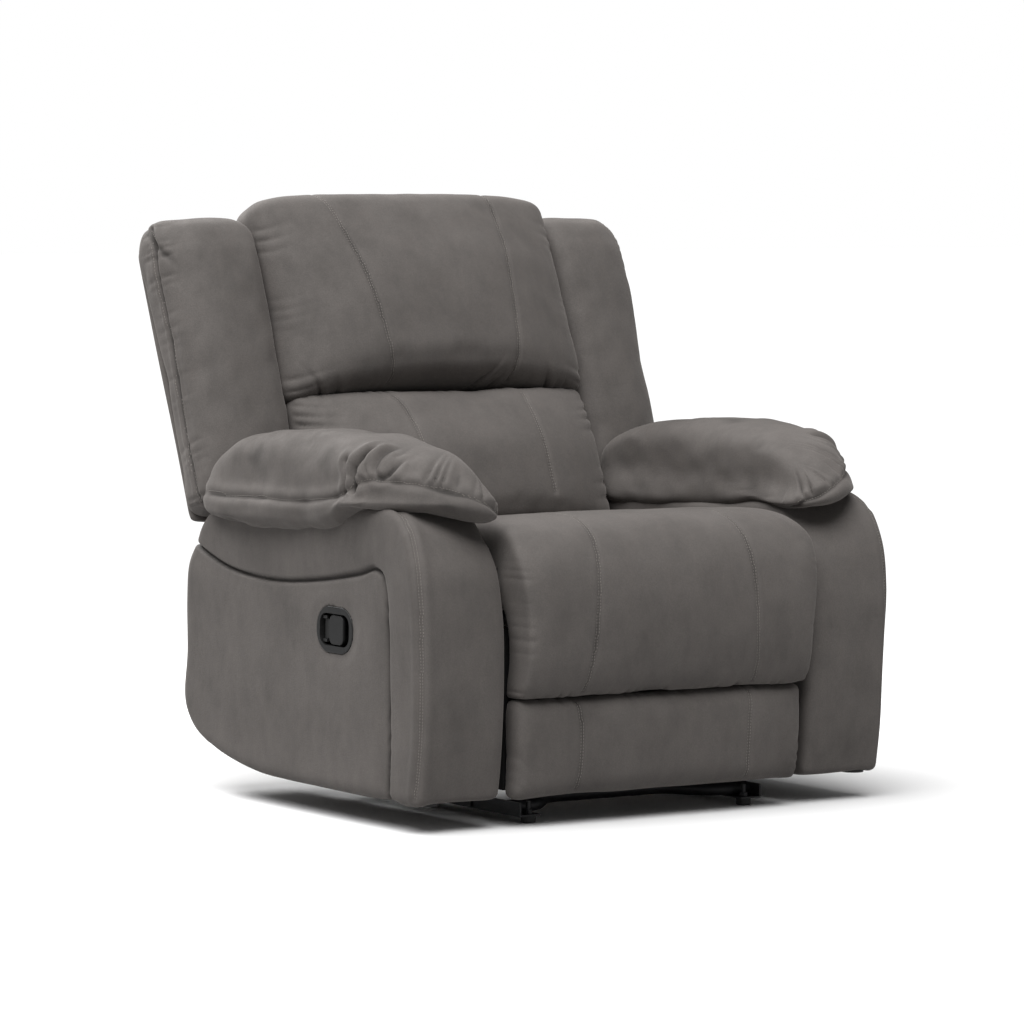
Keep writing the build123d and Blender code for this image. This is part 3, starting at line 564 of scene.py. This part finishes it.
def stitch_row(name, piece, paths, offset, body):
    """Short threads along paths of millimetre points near the piece, to one side of them."""
    skin = skin_of(piece)
    pitch = STITCH_PITCH * MM
    size = Matrix.Diagonal((STITCH_LENGTH * MM, STITCH_WIDTH * MM, STITCH_HEIGHT * MM, 1))
    bm = bmesh.new()
    for path in paths:
        places, normals = lay(skin, fine_path(path, STITCH_PITCH) * MM)
        for a, b, normal in zip(places, places[1:], normals):
            run = b - a
            if run.length < 0.3 * pitch or run.length > 3 * pitch:
                continue
            side = run.cross(normal).normalized()
            hit, normal, _, _ = skin.find_nearest((a + b) / 2 + side * offset * MM)
            along = (run - normal * run.dot(normal)).normalized()
            turn = Matrix((along, normal.cross(along), normal)).transposed().to_4x4()
            place = Matrix.Translation(hit + normal * STITCH_LIFT * MM)
            bmesh.ops.create_icosphere(bm, subdivisions=1, radius=0.5, matrix=place @ turn @ size)
    threads = add_object(name, bm)
    threads.data.materials.append(stitch_thread)
    threads.data.shade_smooth()
    if body:
        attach(threads, body)
    return threads


def twin_rows(name, piece, paths, apart, body):
    """Two rows of stitches, one on each side of the seams."""
    sides = (("inner", -apart / 2), ("outer", apart / 2))
    return [stitch_row(f"{name}_{row}", piece, paths, offset, body) for row, offset in sides]


def groove(points, path, depth, width):
    """How much a seam pulls the skin in near its path, in millimetres."""
    distance, _ = path_distance(points, path)
    return -depth * bell(distance, width)


def soft_cover(piece, body, fill, *nodes, slot="cushion_fabric"):
    """Give a padded piece its fabric, its body and the CAD nodes that it stands for."""
    piece.data.materials.clear()
    piece.data.materials.append(finishes[slot])
    if body:
        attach(piece, body)
    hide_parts(*nodes)


# ------------------------------------------------------------------ back cushions

CUSHION_HALF = 322
SEAM_PAIR = 5.2  # between the two rows of stitches along a seam

# How far the upper cushion's middle stands in front of its base, up its length
HEAD_CROWN = [
    (-1, 36), (-0.92, 60), (-0.75, 74), (-0.4, 80), (0, 78), (0.3, 69), (0.6, 46), (0.87, 22), (1, 10),
]
LUMBAR_CROWN = [(-1, 100), (-0.4, 106), (0.1, 104), (0.4, 90), (0.7, 68), (1, 40)]


def crowned(home, half, radius, crown, fullness=2.6):
    """A rounded cushion whose front swells towards its middle line."""
    box = rounded(home, half, radius)
    across = np.clip(np.abs(box[:, 0]) / half[0], 0, 1)
    swell = (1 - across**fullness) ** 0.75 * profile(crown, np.clip(box[:, 1] / half[1], -1, 1))
    front = ramp(box[:, 2], -half[2] * 0.2, half[2])
    box[:, 2] += swell * front
    return box


def head_shape(home):
    half = (CUSHION_HALF, 196, 46)
    box = crowned(home, half, 30, HEAD_CROWN)
    x, s, n = box[:, 0], box[:, 1], box[:, 2]
    middle = 1 - np.clip(np.abs(x) / half[0], 0, 1) ** 2
    s = s + 10 * middle * ramp(s, 60, 190) + 13 * middle * ramp(-s, 90, 190)
    s = s - 15 * np.abs(x / half[0]) ** 6 * ramp(s, 60, 190)
    return on_back(x, 524 + s, 80 + n)


def lumbar_shape(home):
    half = (CUSHION_HALF - 3, 142, 32)
    box = crowned(home, half, 28, LUMBAR_CROWN)
    return on_back(box[:, 0], 206 + box[:, 1], 92 + box[:, 2])


def back_points(knots):
    """Knots (half x, s, n) on the back as millimetre points."""
    knots = np.asarray(knots, float)
    return on_back(knots[:, 0], knots[:, 1], knots[:, 2])


HEAD_SEAM = [
    (184, 716, 100), (180, 704, 132), (172, 665, 160), (163, 600, 187), (152, 530, 202), (143, 460, 203),
    (135, 395, 190), (129, 350, 172), (128, 338, 160),
]
LUMBAR_SEAM = [
    (138, 322, 180), (133, 300, 200), (132, 272, 218), (131, 231, 234), (131, 180, 238), (133, 120, 236),
]
# Slack folds that run up from the crease: where each starts, how it leans, how far it reaches
SLACK_FOLDS = [(40, 0.75, 46), (84, 0.55, 34), (-215, -0.5, 30), (-246, -0.7, 42), (232, -0.45, 36)]


def sides_of(path):
    """A path and its mirror image across the chair's middle."""
    path = np.asarray(path, float)
    return [path, path * np.array([-1, 1, 1])]


head_seams = sides_of(back_points(HEAD_SEAM))
lumbar_seams = sides_of(back_points(LUMBAR_SEAM))


def head_detail(points, home):
    move = np.zeros(len(points))
    for seam in head_seams:
        move += groove(points, seam, 3.0, 4.5)
    front = ramp(home[:, 2], 0.3, 1)
    # The bottom edge is drawn in at the crease, with short puckers over it
    low = bell(home[:, 1] + 1, 0.16) * front
    move += low * 3.5 * folds(points[:, 0], 34, 11) * ramp(np.abs(home[:, 0]), 0.25, 0.9)
    # Gathers along both long sides, strongest near the top corners and the crease
    edge = bell(np.abs(home[:, 0]) - 1, 0.14) * front
    corners = 0.35 + bell(home[:, 1] - 0.75, 0.28) + 0.8 * bell(home[:, 1] + 0.85, 0.2)
    slant = points[:, 2] + 0.35 * np.abs(points[:, 0])
    move += edge * corners * 2.4 * folds(slant, 27, 5)
    for x, lean, reach in SLACK_FOLDS:
        line = points[:, 0] - x - lean * (points[:, 2] - 668)
        high = bell(points[:, 2] - 672, reach) * front
        move += high * (4.6 * bell(line - 10, 8) - 7.0 * bell(line, 4.5))
    return move + 1.1 * ripple(points, 210, 21) + 0.5 * ripple(points, 70, 22)


def lumbar_detail(points, home):
    move = np.zeros(len(points))
    for seam in lumbar_seams:
        move += groove(points, seam, 2.8, 4.5)
    front = ramp(home[:, 2], 0.3, 1)
    edge = bell(np.abs(home[:, 0]) - 1, 0.15) * front
    move += edge * 3.5 * folds(points[:, 2], 33, 8)
    move += bell(home[:, 1] - 1, 0.16) * front * 2.0 * folds(points[:, 0], 41, 12)
    return move + 1.2 * ripple(points, 190, 23)


head_cushion = soft_piece("head_cushion", (44, 27, 8), head_shape, swell=6)
head_seams = [on_skin(head_cushion, fine_path(seam)) for seam in head_seams]
push(head_cushion, head_detail)
soft_cover(head_cushion, "back", 0.8, "back_cushion_upper")
twin_rows("head_stitches", head_cushion, head_seams, SEAM_PAIR, "back")

lumbar_cushion = soft_piece("lumbar_cushion", (44, 19, 8), lumbar_shape, swell=6)
lumbar_seams = [on_skin(lumbar_cushion, fine_path(seam)) for seam in lumbar_seams]
push(lumbar_cushion, lumbar_detail)
soft_cover(lumbar_cushion, "back", 0.8, "back_cushion_lower")
twin_rows("lumbar_stitches", lumbar_cushion, lumbar_seams, SEAM_PAIR, "back")

# ------------------------------------------------------------------ back wings

WING_OUTLINE = np.array([
    (159, 2), (160, 45), (166, 88), (190, 107), (300, 118), (420, 126), (545, 130), (618, 127), (664, 114),
    (688, 86), (697, 52), (690, 22), (672, 4), (650, 0), (500, -1), (300, -1),
])
WING_SEAM = [(170, 52), (208, 54), (320, 48), (420, 53), (507, 61), (606, 67), (650, 70), (680, 62)]


def wing_shape(side):
    def shape(home):
        box = slab_outline(home, WING_OUTLINE, (410, 54), ARM_INNER - 6, WING_OUTER - 3, 30)
        x, s, n = box.T
        across = (x - ARM_INNER) / (WING_OUTER - ARM_INNER)
        # The front rolls over towards the outer side, and the inner side leans on the cushion
        n = n - ramp(n, 50, 115) * (26 * ramp(across, 0.55, 1.02) - 5 * bell(across - 0.35, 0.3))
        return mirrored(on_back(x, s, n), side)

    return shape


def wing_detail(side, wing):
    s, n = np.array(WING_SEAM, float).T
    seam = mirrored(on_back(np.full(len(s), WING_OUTER - 3.0), s, n), side)
    seam = on_skin(wing, fine_path(seam))

    def amount(points, home):
        distance, place = path_distance(points, seam)
        outer = ramp(home[:, 0], 0.4, 1)
        move = outer * (-4.5 * bell(distance, 5) + 1.6 * bell(distance - 9, 5))
        gather = bell(distance - 16, 20) * outer
        ends = 0.35 + 1.3 * bell(place - place.max(), 90) + 0.5 * bell(place, 80)
        move += gather * ends * 3.0 * folds(place, 23, 31)
        # A deep pleat at the outer top corner
        top = points[:, 2] - seam[-1][2] - 0.6 * (points[:, 1] - seam[-1][1])
        move -= 4.5 * bell(top + 16, 7) * outer * bell(distance, 34)
        return move + 1.4 * ripple(points, 160, 33) + 0.6 * ripple(points, 60, 34)

    return seam, amount


for name, side in SIDES.items():
    wing = soft_piece(f"wing_{name}", (12, 36, 9), wing_shape(side), swell=4)
    seam, amount = wing_detail(side, wing)
    push(wing, amount)
    soft_cover(wing, "back", 0.7, f"back_wing_{name}")
    stitch_row(f"wing_stitches_{name}", wing, [seam], 5.5 * side, "back")


def rear_cover_shape(home):
    box = rounded(home, (WING_OUTER - 8, 250, 9), 8)
    return on_back(box[:, 0], 407 + box[:, 1], 4 + box[:, 2])


def rear_cover_detail(points, home):
    seams = -3.0 * bell(np.abs(points[:, 0]) - 318, 5)
    hem = bell(np.abs(home[:, 1]) - 1, 0.12)
    return seams + 1.2 * ripple(points, 260, 41) + 1.2 * hem * folds(points[:, 0], 60, 42)


rear_cover = soft_piece("back_rear_cover", (60, 34, 2), rear_cover_shape)
push(rear_cover, rear_cover_detail)
soft_cover(rear_cover, "back", 0.3)


def top_band_shape(home):
    box = rounded(home, (316, 17, 21), 10)
    return on_back(box[:, 0], 641 + box[:, 1], 29 + box[:, 2])


top_band = soft_piece("back_top_band", (52, 4, 4), top_band_shape)
push(top_band, lambda points, home: 1.4 * folds(points[:, 0], 48, 45) + 0.8 * ripple(points, 110, 46))
soft_cover(top_band, "back", 0.3)


def rear_flap_shape(home):
    box = rounded(home, (296, 128, 5), 4.5)
    return on_back(box[:, 0], 33 + box[:, 1], 4 + box[:, 2])


rear_flap = soft_piece("back_lower_flap", (38, 18, 2), rear_flap_shape)
push(rear_flap, lambda points, home: 1.4 * ripple(points, 120, 43) + 0.8 * folds(points[:, 0], 75, 44))
soft_cover(rear_flap, "back", 0.2, "back_outer_panel")

# ------------------------------------------------------------------ seat and footrest pads

CHAISE_OUTER = numbered([
    (92, 446), (20, 462), (-80, 478), (-180, 489), (-270, 497), (-340, 501), (-395, 495),
    (-436, 475), (-459, 440), (-468, 390), (-470, 335), (-466, 280), (-456, 240), (-440, 212),
])
CHAISE_INNER = numbered([
    (104, 330), (30, 318), (-60, 316), (-140, 316), (-220, 316), (-290, 322), (-340, 345),
    (-366, 356), (-384, 362), (-392, 352), (-394, 325), (-391, 280), (-388, 245), (-388, 212),
])
LOWER_OUTER = numbered([(-431, 216), (-437, 192), (-437, 150), (-434, 100), (-430, 66), (-420, 46)])
LOWER_INNER = numbered([(-384, 216), (-383, 185), (-383, 150), (-383, 100), (-383, 70), (-386, 46)])


def strip_shape(outer, inner, half_x, thick, long, radius, crown, narrow=((0, 1), (1, 1))):
    """A pad that follows two side curves, thick between them, with rounded rims."""
    last = outer[-1][0]

    def shape(home):
        box = rounded(home, (half_x, long / 2, thick / 2), radius)
        t = (box[:, 1] / long + 0.5) * last
        f = box[:, 2] / thick + 0.5
        a, b = smooth_curve(inner, t), smooth_curve(outer, t)
        across = np.clip(np.abs(box[:, 0]) / half_x, 0, 1)
        middle = np.sin(math.pi * np.clip(t / last, 0.02, 0.98)) ** 0.5
        f = f + crown * (1 - across**4) * ramp(f, 0.4, 1) * middle
        face = a + (b - a) * f[:, None]
        return np.column_stack([box[:, 0] * profile(narrow, t / last), face])

    return shape


CHAISE_SEAM = [
    (132, 40, 462), (136, -80, 482), (142, -180, 496), (147, -270, 508), (150, -340, 512),
    (151, -397, 500), (156, -436, 470), (161, -458, 430), (165, -468, 379), (169, -471, 313),
    (175, -462, 259), (178, -446, 226),
]
LOWER_SEAM = [(180, -432, 205), (176, -438, 170), (175, -437, 120), (178, -430, 62)]
# How much of its full width the pad keeps, from its rear edge to its lower front edge
CHAISE_WIDTH = [
    (0, 0.965), (0.3, 0.965), (0.47, 0.99), (0.56, 1.013), (0.66, 1.0), (0.82, 0.972), (1, 0.963),
]
chaise_seams = sides_of(CHAISE_SEAM)
lower_seams = sides_of(LOWER_SEAM)


def chaise_detail(points, home):
    move = np.zeros(len(points))
    for seam in chaise_seams:
        move += groove(points, seam, 2.8, 4.5)
    face = ramp(home[:, 2], 0.3, 1)
    rim = bell(np.abs(home[:, 0]) - 1, 0.035)
    front = ramp(-points[:, 1], 380, 430)
    move += rim * front * 0.9 * folds(points[:, 2], 24, 51)
    crease = bell(home[:, 1] - 1, 0.05) * face
    move += crease * (3.0 * folds(points[:, 0], 31, 52) - 1.5)
    return move + 1.3 * ripple(points, 230, 53) + 0.5 * ripple(points, 80, 54)


def lower_detail(points, home):
    move = np.zeros(len(points))
    for seam in lower_seams:
        move += groove(points, seam, 2.4, 4.5)
    rim = bell(np.abs(home[:, 0]) - 1, 0.07)
    top = bell(home[:, 1] + 1, 0.2)
    move += (rim + top) * 1.8 * folds(points[:, 0] + points[:, 2], 37, 55)
    return move + 1.2 * ripple(points, 180, 56)


chaise = soft_piece(
    "seat_chaise_pad",
    (42, 66, 9),
    strip_shape(CHAISE_OUTER, CHAISE_INNER, CHAISE_HALF + 9, 120, 1000, 14, 0.05, CHAISE_WIDTH),
    swell=4,
)
chaise_seams = [on_skin(chaise, fine_path(seam)) for seam in chaise_seams]
push(chaise, chaise_detail)
soft_cover(chaise, None, 0.85, "seat_cushion", "footrest_pad_upper")
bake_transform(chaise)
for threads in twin_rows("chaise_stitches", chaise, chaise_seams, SEAM_PAIR, None):
    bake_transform(threads)

lower_pad = soft_piece(
    "footrest_lower_pad",
    (42, 12, 4),
    strip_shape(LOWER_OUTER, LOWER_INNER, CHAISE_HALF - 1, 48, 172, 16, 0.14),
    swell=3,
)
lower_seams = [on_skin(lower_pad, fine_path(seam)) for seam in lower_seams]
push(lower_pad, lower_detail)
soft_cover(lower_pad, "footrest", 0.7, "footrest_pad_lower")
twin_rows("lower_pad_stitches", lower_pad, lower_seams, SEAM_PAIR, "footrest")

# ------------------------------------------------------------------ arms

ARM_OUTLINE = fine_path([
    (-413, 52), (-424, 150), (-427, 260), (-421, 380), (-405, 455), (-376, 505), (-330, 527), (-270, 528),
    (-180, 518), (0, 514), (120, 513), (190, 506), (240, 482), (280, 440), (303, 395), (308, 340),
    (308, 240), (308, 140), (285, 112), (230, 86), (150, 65), (60, 52), (0, 50), (-150, 50), (-300, 50),
    (-405, 50), (-413, 52),
])[:-1]
GROOVE_PATH = fine_path([
    (312, 452), (284, 434), (245, 418), (184, 400), (99, 389), (14, 387), (-70, 393), (-158, 404),
    (-240, 418), (-292, 428), (-312, 420), (-323, 396), (-327, 340), (-328, 215), (-328, 120), (-328, 40),
], 8)
FRONT_SEAM = [
    (483, -405, 60), (484, -417, 150), (484, -421, 267), (482, -413, 388), (480, -399, 448),
    (477, -374, 494), (473, -342, 515), (468, -300, 524),
]
FRONT_SEAM_PAIR = 6.0
BEZEL_CORNER = 37
POCKET_DEPTH = 42


def arm_shape(side):
    def shape(home):
        box = slab_outline(home, ARM_OUTLINE, (-60, 285), ARM_INNER, ARM_OUTER, 15)
        x, y, z = box.T
        across = (x - ARM_INNER) / (ARM_OUTER - ARM_INNER)
        # The top falls towards the seat, most at the front brow
        brow = ramp(z, 400, 520) * (1 - ramp(across, 0.0, 1.0))
        z = z - brow * (12 + 20 * ramp(-y, 322, 372))
        # The facing bellies forwards, and outwards over its middle height
        front = ramp(-y, 330, 425)
        y = y - front * 7 * np.sin(math.pi * np.clip(across, 0, 1)) * ramp(z, 40, 160)
        y = y + front * 10 * (1 - ramp(across, 0, 0.35)) * ramp(z, 300, 470)
        x = x + ramp(across, 0.5, 1) * 9 * bell(z - 400, 110) * ramp(-y, 200, 400)
        return mirrored(np.column_stack([x, y, z]), side)

    return shape


def arm_detail(side, arm):
    seam = on_skin(arm, mirrored(fine_path(FRONT_SEAM), side))

    def amount(points, home):
        outer = ramp(home[:, 0], 0.5, 1)
        distance, _ = path_distance(points[:, 1:], GROOVE_PATH)
        move = outer * (-9.0 * bell(distance, 3.6) + 3.5 * (1 - bell(distance, 26)))
        distance, _ = path_distance(points, seam)
        move += -4.2 * bell(distance, 3.8) + 1.4 * bell(distance - 12, 7)
        return move + 1.1 * ripple(points, 240, 62)

    return seam, amount


def pocket(arm):
    """Take the right arm's cover in behind the lever's bezel, so that its recess stays open."""
    low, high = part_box("lever_bezel")
    middle_y, middle_z = (low[Y] + high[Y]) / 2 / MM, (low[Z] + high[Z]) / 2 / MM
    half_y, half_z = (high[Y] - low[Y]) / 2 / MM, (high[Z] - low[Z]) / 2 / MM
    points = read_points(arm) / MM
    # How far outside the bezel's rounded outline each point lies
    out_y = np.maximum(np.abs(points[:, 1] - middle_y) - (half_y - BEZEL_CORNER), 0)
    out_z = np.maximum(np.abs(points[:, 2] - middle_z) - (half_z - BEZEL_CORNER), 0)
    edge = np.hypot(out_y, out_z) - BEZEL_CORNER
    skin = points[:, 0] < -ARM_OUTER + 12
    flush = -ARM_OUTER - 1.5
    x = points[:, 0] + skin * (1 - ramp(edge, 0, 26)) * (np.maximum(points[:, 0], flush) - points[:, 0])
    x = x + skin * (1 - ramp(edge, -5.5, -1.0)) * POCKET_DEPTH
    points[:, 0] = x
    write_points(arm, points * MM)


for name, side in SIDES.items():
    arm = soft_piece(f"arm_body_{name}", (11, 54, 36), arm_shape(side))
    seam, amount = arm_detail(side, arm)
    push(arm, amount)
    if side == RIGHT:
        pocket(arm)
    covered = [f"arm_{part}_{name}" for part in ("facing", "outer_cover", "side_panel", "inner_panel")]
    soft_cover(arm, "base", 0.4, *covered, slot="cover_fabric")
    twin_rows(f"arm_stitches_{name}", arm, [seam], FRONT_SEAM_PAIR, "base")

# ------------------------------------------------------------------ arm pillows

PILLOW_OUTLINE = fine_path([
    (236, 508), (250, 535), (233, 574), (182, 606), (97, 629), (0, 639), (-110, 643), (-210, 638),
    (-300, 622), (-370, 595), (-412, 564), (-431, 538), (-430, 516), (-406, 505), (-340, 508), (-270, 506),
    (-150, 497), (0, 492), (120, 494), (205, 500), (236, 508),
])[:-1]
PILLOW_SEAM = [
    (498, 222, 524), (503, 150, 520), (506, 40, 524), (506, -78, 528), (505, -170, 537), (505, -232, 553),
    (500, -268, 572), (478, -330, 576), (440, -382, 571), (400, -412, 561), (360, -428, 545),
    (334, -426, 534), (325, -400, 523), (324, -360, 512),
]
# Tucks in the outer side: the line of each and its depth
TUCKS = [
    (fine_path([(-226, 552), (-229, 578), (-220, 604)], 6), 5.0),
    (fine_path([(-250, 556), (-246, 588), (-252, 622)], 6), 9.0),
    (fine_path([(-272, 634), (-279, 606), (-284, 588), (-298, 580), (-309, 590), (-311, 606)], 6), 5.5),
]
# How much of its front length the pillow keeps from its inner side to its outer side
NOSE = [(325, 1.0), (380, 0.97), (440, 0.83), (480, 0.62), (508, 0.40)]


def pillow_shape(side):
    def shape(home):
        box = slab_outline(home, PILLOW_OUTLINE, (-105, 560), PILLOW_INNER, PILLOW_OUTER, 62)
        x, y, z = box.T
        across = (x - PILLOW_INNER) / (PILLOW_OUTER - PILLOW_INNER)
        # The lower band stands upright below the seam instead of rolling under
        low = ramp(-z, -552, -508)
        x = x + low * 20 * (ramp(across, 0.55, 0.95) - ramp(1 - across, 0.55, 0.95))
        # The hem hangs over the arm along its side and rises over the arm's front corner
        outwards = ramp(across, 0.3, 1)
        nose = ramp(-y, 110, 320)
        hem = (1 - nose) * (490 - 7 * outwards) + nose * (502 + 23 * ramp(across, 0.05, 0.7))
        z = z + low * (hem - 503)
        # In plan the front is a rounded nose that points inwards
        y = np.where(y < -190, -190 + (y + 190) * profile(NOSE, x), y)
        return mirrored(np.column_stack([x, y, z]), side)

    return shape


def pillow_detail(side, pillow):
    seam = on_skin(pillow, mirrored(fine_path(PILLOW_SEAM), side))

    def amount(points, home):
        distance, place = path_distance(points, seam)
        move = -3.6 * bell(distance, 4.2) + 1.6 * bell(distance - 13, 8)
        # Gathers rise from the seam: faint along the side, crowded round the nose
        nose = ramp(place, 430, 560)
        seam_z = np.interp(place, np.linspace(0, place.max(), len(seam)), seam[:, 2])
        above = ramp(points[:, 2] - seam_z, -2, 10)
        gather = ramp(distance, 2, 13) * bell(distance, 24 + 34 * nose) * above
        spread = place + 0.5 * (points[:, 2] - 545) * (1 - nose)
        side_folds = 2.0 * (0.6 + bell(place - 20, 60)) * folds(spread, 46, 71)
        move += gather * ((1 - nose) * side_folds + nose * 9.0 * folds(spread, 24, 72))
        # Deep tucks where the side seam meets the nose
        outer = ramp(np.abs(points[:, 0]), 420, 470)
        for tuck, depth in TUCKS:
            distance, _ = path_distance(points[:, 1:], tuck)
            move += outer * depth * (0.55 * bell(distance - 13, 8) - bell(distance, 4.2))
        return move + 1.8 * ripple(points, 150, 73) + 0.6 * ripple(points, 55, 74)

    return seam, amount


for name, side in SIDES.items():
    pillow = soft_piece(f"arm_pillow_pad_{name}", (15, 46, 12), pillow_shape(side), swell=3)
    seam, amount = pillow_detail(side, pillow)
    push(pillow, amount)
    soft_cover(pillow, "base", 0.75, f"arm_pillow_{name}")
    stitch_row(f"pillow_stitches_{name}", pillow, [seam], 3.5 * side, "base")

# ------------------------------------------------------------------ floor, light and camera

FLOOR_HALF = 30  # metres

floor_bm = bmesh.new()
bmesh.ops.create_grid(floor_bm, x_segments=2, y_segments=2, size=FLOOR_HALF)
floor = add_object("floor", floor_bm)
# The camera sees a pale floor, and the chair is lit by a darker one
floor_finish = Finish("studio_floor")
floor_finish.set(Base_Color=rgba(0.92, 0.92, 0.92), Roughness=0.9, Specular_IOR_Level=0.1)
dim_floor = floor_finish.node("ShaderNodeBsdfDiffuse", {"Color": rgba(0.42, 0.42, 0.42)})
pale_floor = Link(floor_finish, floor_finish.shader.outputs[0])
by_camera = floor_finish.node("ShaderNodeLightPath")
shown = floor_finish.node("ShaderNodeMixShader", {0: by_camera, 1: dim_floor, 2: pale_floor})
floor_finish.plug(floor_finish.nodes["Material Output"].inputs["Surface"], shown)
floor.data.materials.append(floor_finish.material)

world = bpy.data.worlds.new("studio")
bpy.context.scene.world = world
world.use_nodes = True
sky = world.node_tree
backdrop = sky.nodes.new("ShaderNodeBackground")
backdrop.inputs["Color"].default_value = rgba(1, 1, 1)
fill_light = sky.nodes["Background"]
fill_light.inputs["Color"].default_value = rgba(1, 1, 1)
fill_light.inputs["Strength"].default_value = 0.18
surround = sky.nodes.new("ShaderNodeMixShader")
sky.links.new(sky.nodes.new("ShaderNodeLightPath").outputs["Is Camera Ray"], surround.inputs["Fac"])
sky.links.new(fill_light.outputs[0], surround.inputs[1])
sky.links.new(backdrop.outputs[0], surround.inputs[2])
sky.links.new(surround.outputs[0], sky.nodes["World Output"].inputs["Surface"])
bpy.context.scene.view_settings.view_transform = "Standard"


def hang(light, place, target):
    """Hang a light at a place, turned towards a target."""
    lamp = bpy.data.objects.new(light.name, light)
    lamp.location = place
    lamp.rotation_euler = (Vector(place) - Vector(target)).to_track_quat("Z", "Y").to_euler()
    bpy.context.scene.collection.objects.link(lamp)


overhead = bpy.data.lights.new("overhead", "SUN")
overhead.energy = 3.7
overhead.angle = math.radians(58)
hang(overhead, (-0.40, -0.30, 1.0), (0, 0, 0))
edge_light = bpy.data.lights.new("edge_light", "AREA")
edge_light.shape = "RECTANGLE"
edge_light.size, edge_light.size_y = 2.2, 1.2
edge_light.energy = 70
hang(edge_light, (-0.6, 2.2, 2.4), (0, 0, 0.6))

CAMERA_PLACE = Vector((-5.3245, -7.4936, 1.1757))
YAW, PITCH, ROLL = (math.radians(a) for a in (35.350, -4.2825, 0.657))
LENS, SENSOR = 185.934375, 36.0
ahead = Vector((math.sin(YAW) * math.cos(PITCH), math.cos(YAW) * math.cos(PITCH), math.sin(PITCH)))
right = Vector((math.cos(YAW), -math.sin(YAW), 0))
above = right.cross(ahead)
turned_right = right * math.cos(ROLL) + above * math.sin(ROLL)
turned_above = above * math.cos(ROLL) - right * math.sin(ROLL)
facing = Matrix((turned_right, turned_above, -ahead)).transposed().to_4x4()
camera_data = bpy.data.cameras.new("camera")
camera_data.lens = LENS
camera_data.sensor_width = SENSOR
camera = bpy.data.objects.new("camera", camera_data)
camera.matrix_world = Matrix.Translation(CAMERA_PLACE) @ facing
bpy.context.scene.collection.objects.link(camera)
bpy.context.scene.camera = camera
